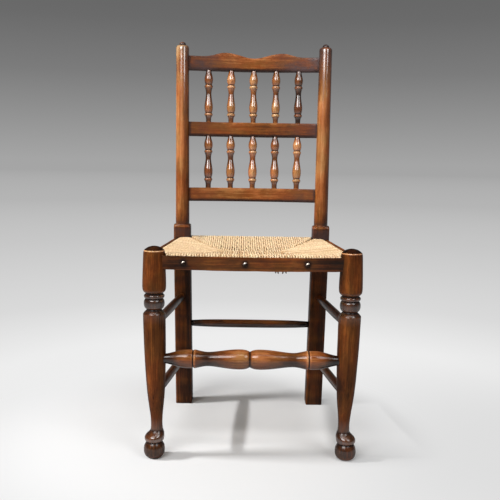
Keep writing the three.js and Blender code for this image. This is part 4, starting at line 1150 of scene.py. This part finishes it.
def world():
    """Even faint light, and greys from the horizon up where the camera looks."""
    made = bpy.data.worlds.new("studio")
    bpy.context.scene.world = made
    net = Net(made)
    light = net.node("ShaderNodeBackground", {"Color": (1, 1, 1, 1), "Strength": 0.06})
    place = net.node("ShaderNodeTexCoord").outputs["Generated"]
    up = net.node("ShaderNodeSeparateXYZ", {0: place}).outputs["Z"]
    seen = net.node("ShaderNodeBackground", {"Color": net.greys(up, SKY)})
    net.blend(net.looked_at(), light, seen, "World Output")


def softbox(name, azimuth, elevation, distance, size, power, mirrored=True):
    """An area light towards the seat. Azimuth 0 is in front of the chair, 90 on its right."""
    light = bpy.data.lights.new(name, "AREA")
    light.shape = "RECTANGLE"
    light.size, light.size_y = size
    light.energy = power
    made = add_object(name, light)
    turn, rise = math.radians(azimuth), math.radians(elevation)
    back = Vector((math.sin(turn) * math.cos(rise), -math.cos(turn) * math.cos(rise), math.sin(rise)))
    made.location = Vector((0, 0, 0.5)) + back * distance
    made.rotation_euler = back.to_track_quat("Z", "Y").to_euler()
    made.visible_camera = False
    made.visible_glossy = mirrored


def lights():
    softbox("key", -82.4, 30.7, 3.5, (0.6, 0.12), 124, mirrored=False)
    softbox("front_left", -29, 40, 4.5, (2.4, 1.6), 104)
    softbox("front_right", 38, 40, 3.5, (1.2, 1.3), 26)
    softbox("front_top", 0, 62, 3.0, (6.0, 0.25), 22)


def camera():
    """The photograph's view: a 50 mm lens a little left of the chair, slightly down and rolled."""
    pitch, yaw, roll = CAMERA_TURNS
    level = Vector((math.sin(yaw), math.cos(yaw), 0))
    right = Vector((math.cos(yaw), -math.sin(yaw), 0))
    up = Vector((0, 0, math.cos(pitch))) + level * math.sin(pitch)
    forward = level * math.cos(pitch) - Vector((0, 0, math.sin(pitch)))
    x_axis = right * math.cos(roll) + up * math.sin(roll)
    y_axis = up * math.cos(roll) - right * math.sin(roll)
    data = bpy.data.cameras.new("camera")
    data.sensor_width = SENSOR_WIDTH
    data.lens = SENSOR_WIDTH * FOCAL_SHARE
    made = add_object("camera", data)
    turn = Matrix((x_axis, y_axis, -forward)).transposed().to_4x4()
    made.matrix_world = Matrix.Translation(CAMERA_AT) @ turn
    bpy.context.scene.camera = made


# Making

camera()
POLISHED = polished_wood("polished_wood", 0.13)
SATIN = polished_wood("satin_wood", 0.2)
RUSH = rush_material()
# Dark rush for the padding and the cut ends; in the padding the darkness is painted shade for the gaps
# between cords.
STUFFING = rough_material("rush_inside", (300, 300, 300), (0.05, 0.024, 0.009), (0.17, 0.085, 0.03),
                          0.9, 0.001, 0.8)
BARE = rough_material("bare_wood", (60, 60, 500), (0.2, 0.12, 0.06), (0.42, 0.28, 0.15), 0.8, 0.0003, 0.5)
NAIL_METAL = nail_metal()

for side, word in SIDES:
    front_leg(side, word)
    rear_post(side, word)
back_rail("crest_rail", CREST_BOTTOM, CREST_HEIGHT, CREST_TOP, 0.6, 0.48, 1.4)
back_rail("middle_rail", MIDDLE_BOTTOM, MIDDLE_HEIGHT, STRAIGHT_TOP, 0.58, 0.55, 0.45)
back_rail("lower_rail", LOWER_BOTTOM, LOWER_HEIGHT, STRAIGHT_TOP, 0.65, 0.58, 0.4)
tones = [(0.5, 0.5), (0.6, 0.74), (0.68, 0.66), (0.54, 0.64), (0.76, 0.3)]
for number, (low_tone, high_tone) in enumerate(tones, 1):
    spindle("lower", number, LOWER_TOP, MIDDLE_BOTTOM, LOWER_SPINDLE_RUNS, LOWER_SPINDLE_RADIUS, low_tone)
    spindle("upper", number, MIDDLE_TOP, CREST_BOTTOM, UPPER_SPINDLE_RUNS, UPPER_SPINDLE_RADIUS, high_tone)
stretchers()
strips_and_nails()
seat_rails()
rush_seat()
floor()
world()
lights()
bpy.context.scene.view_settings.view_transform = "Standard"
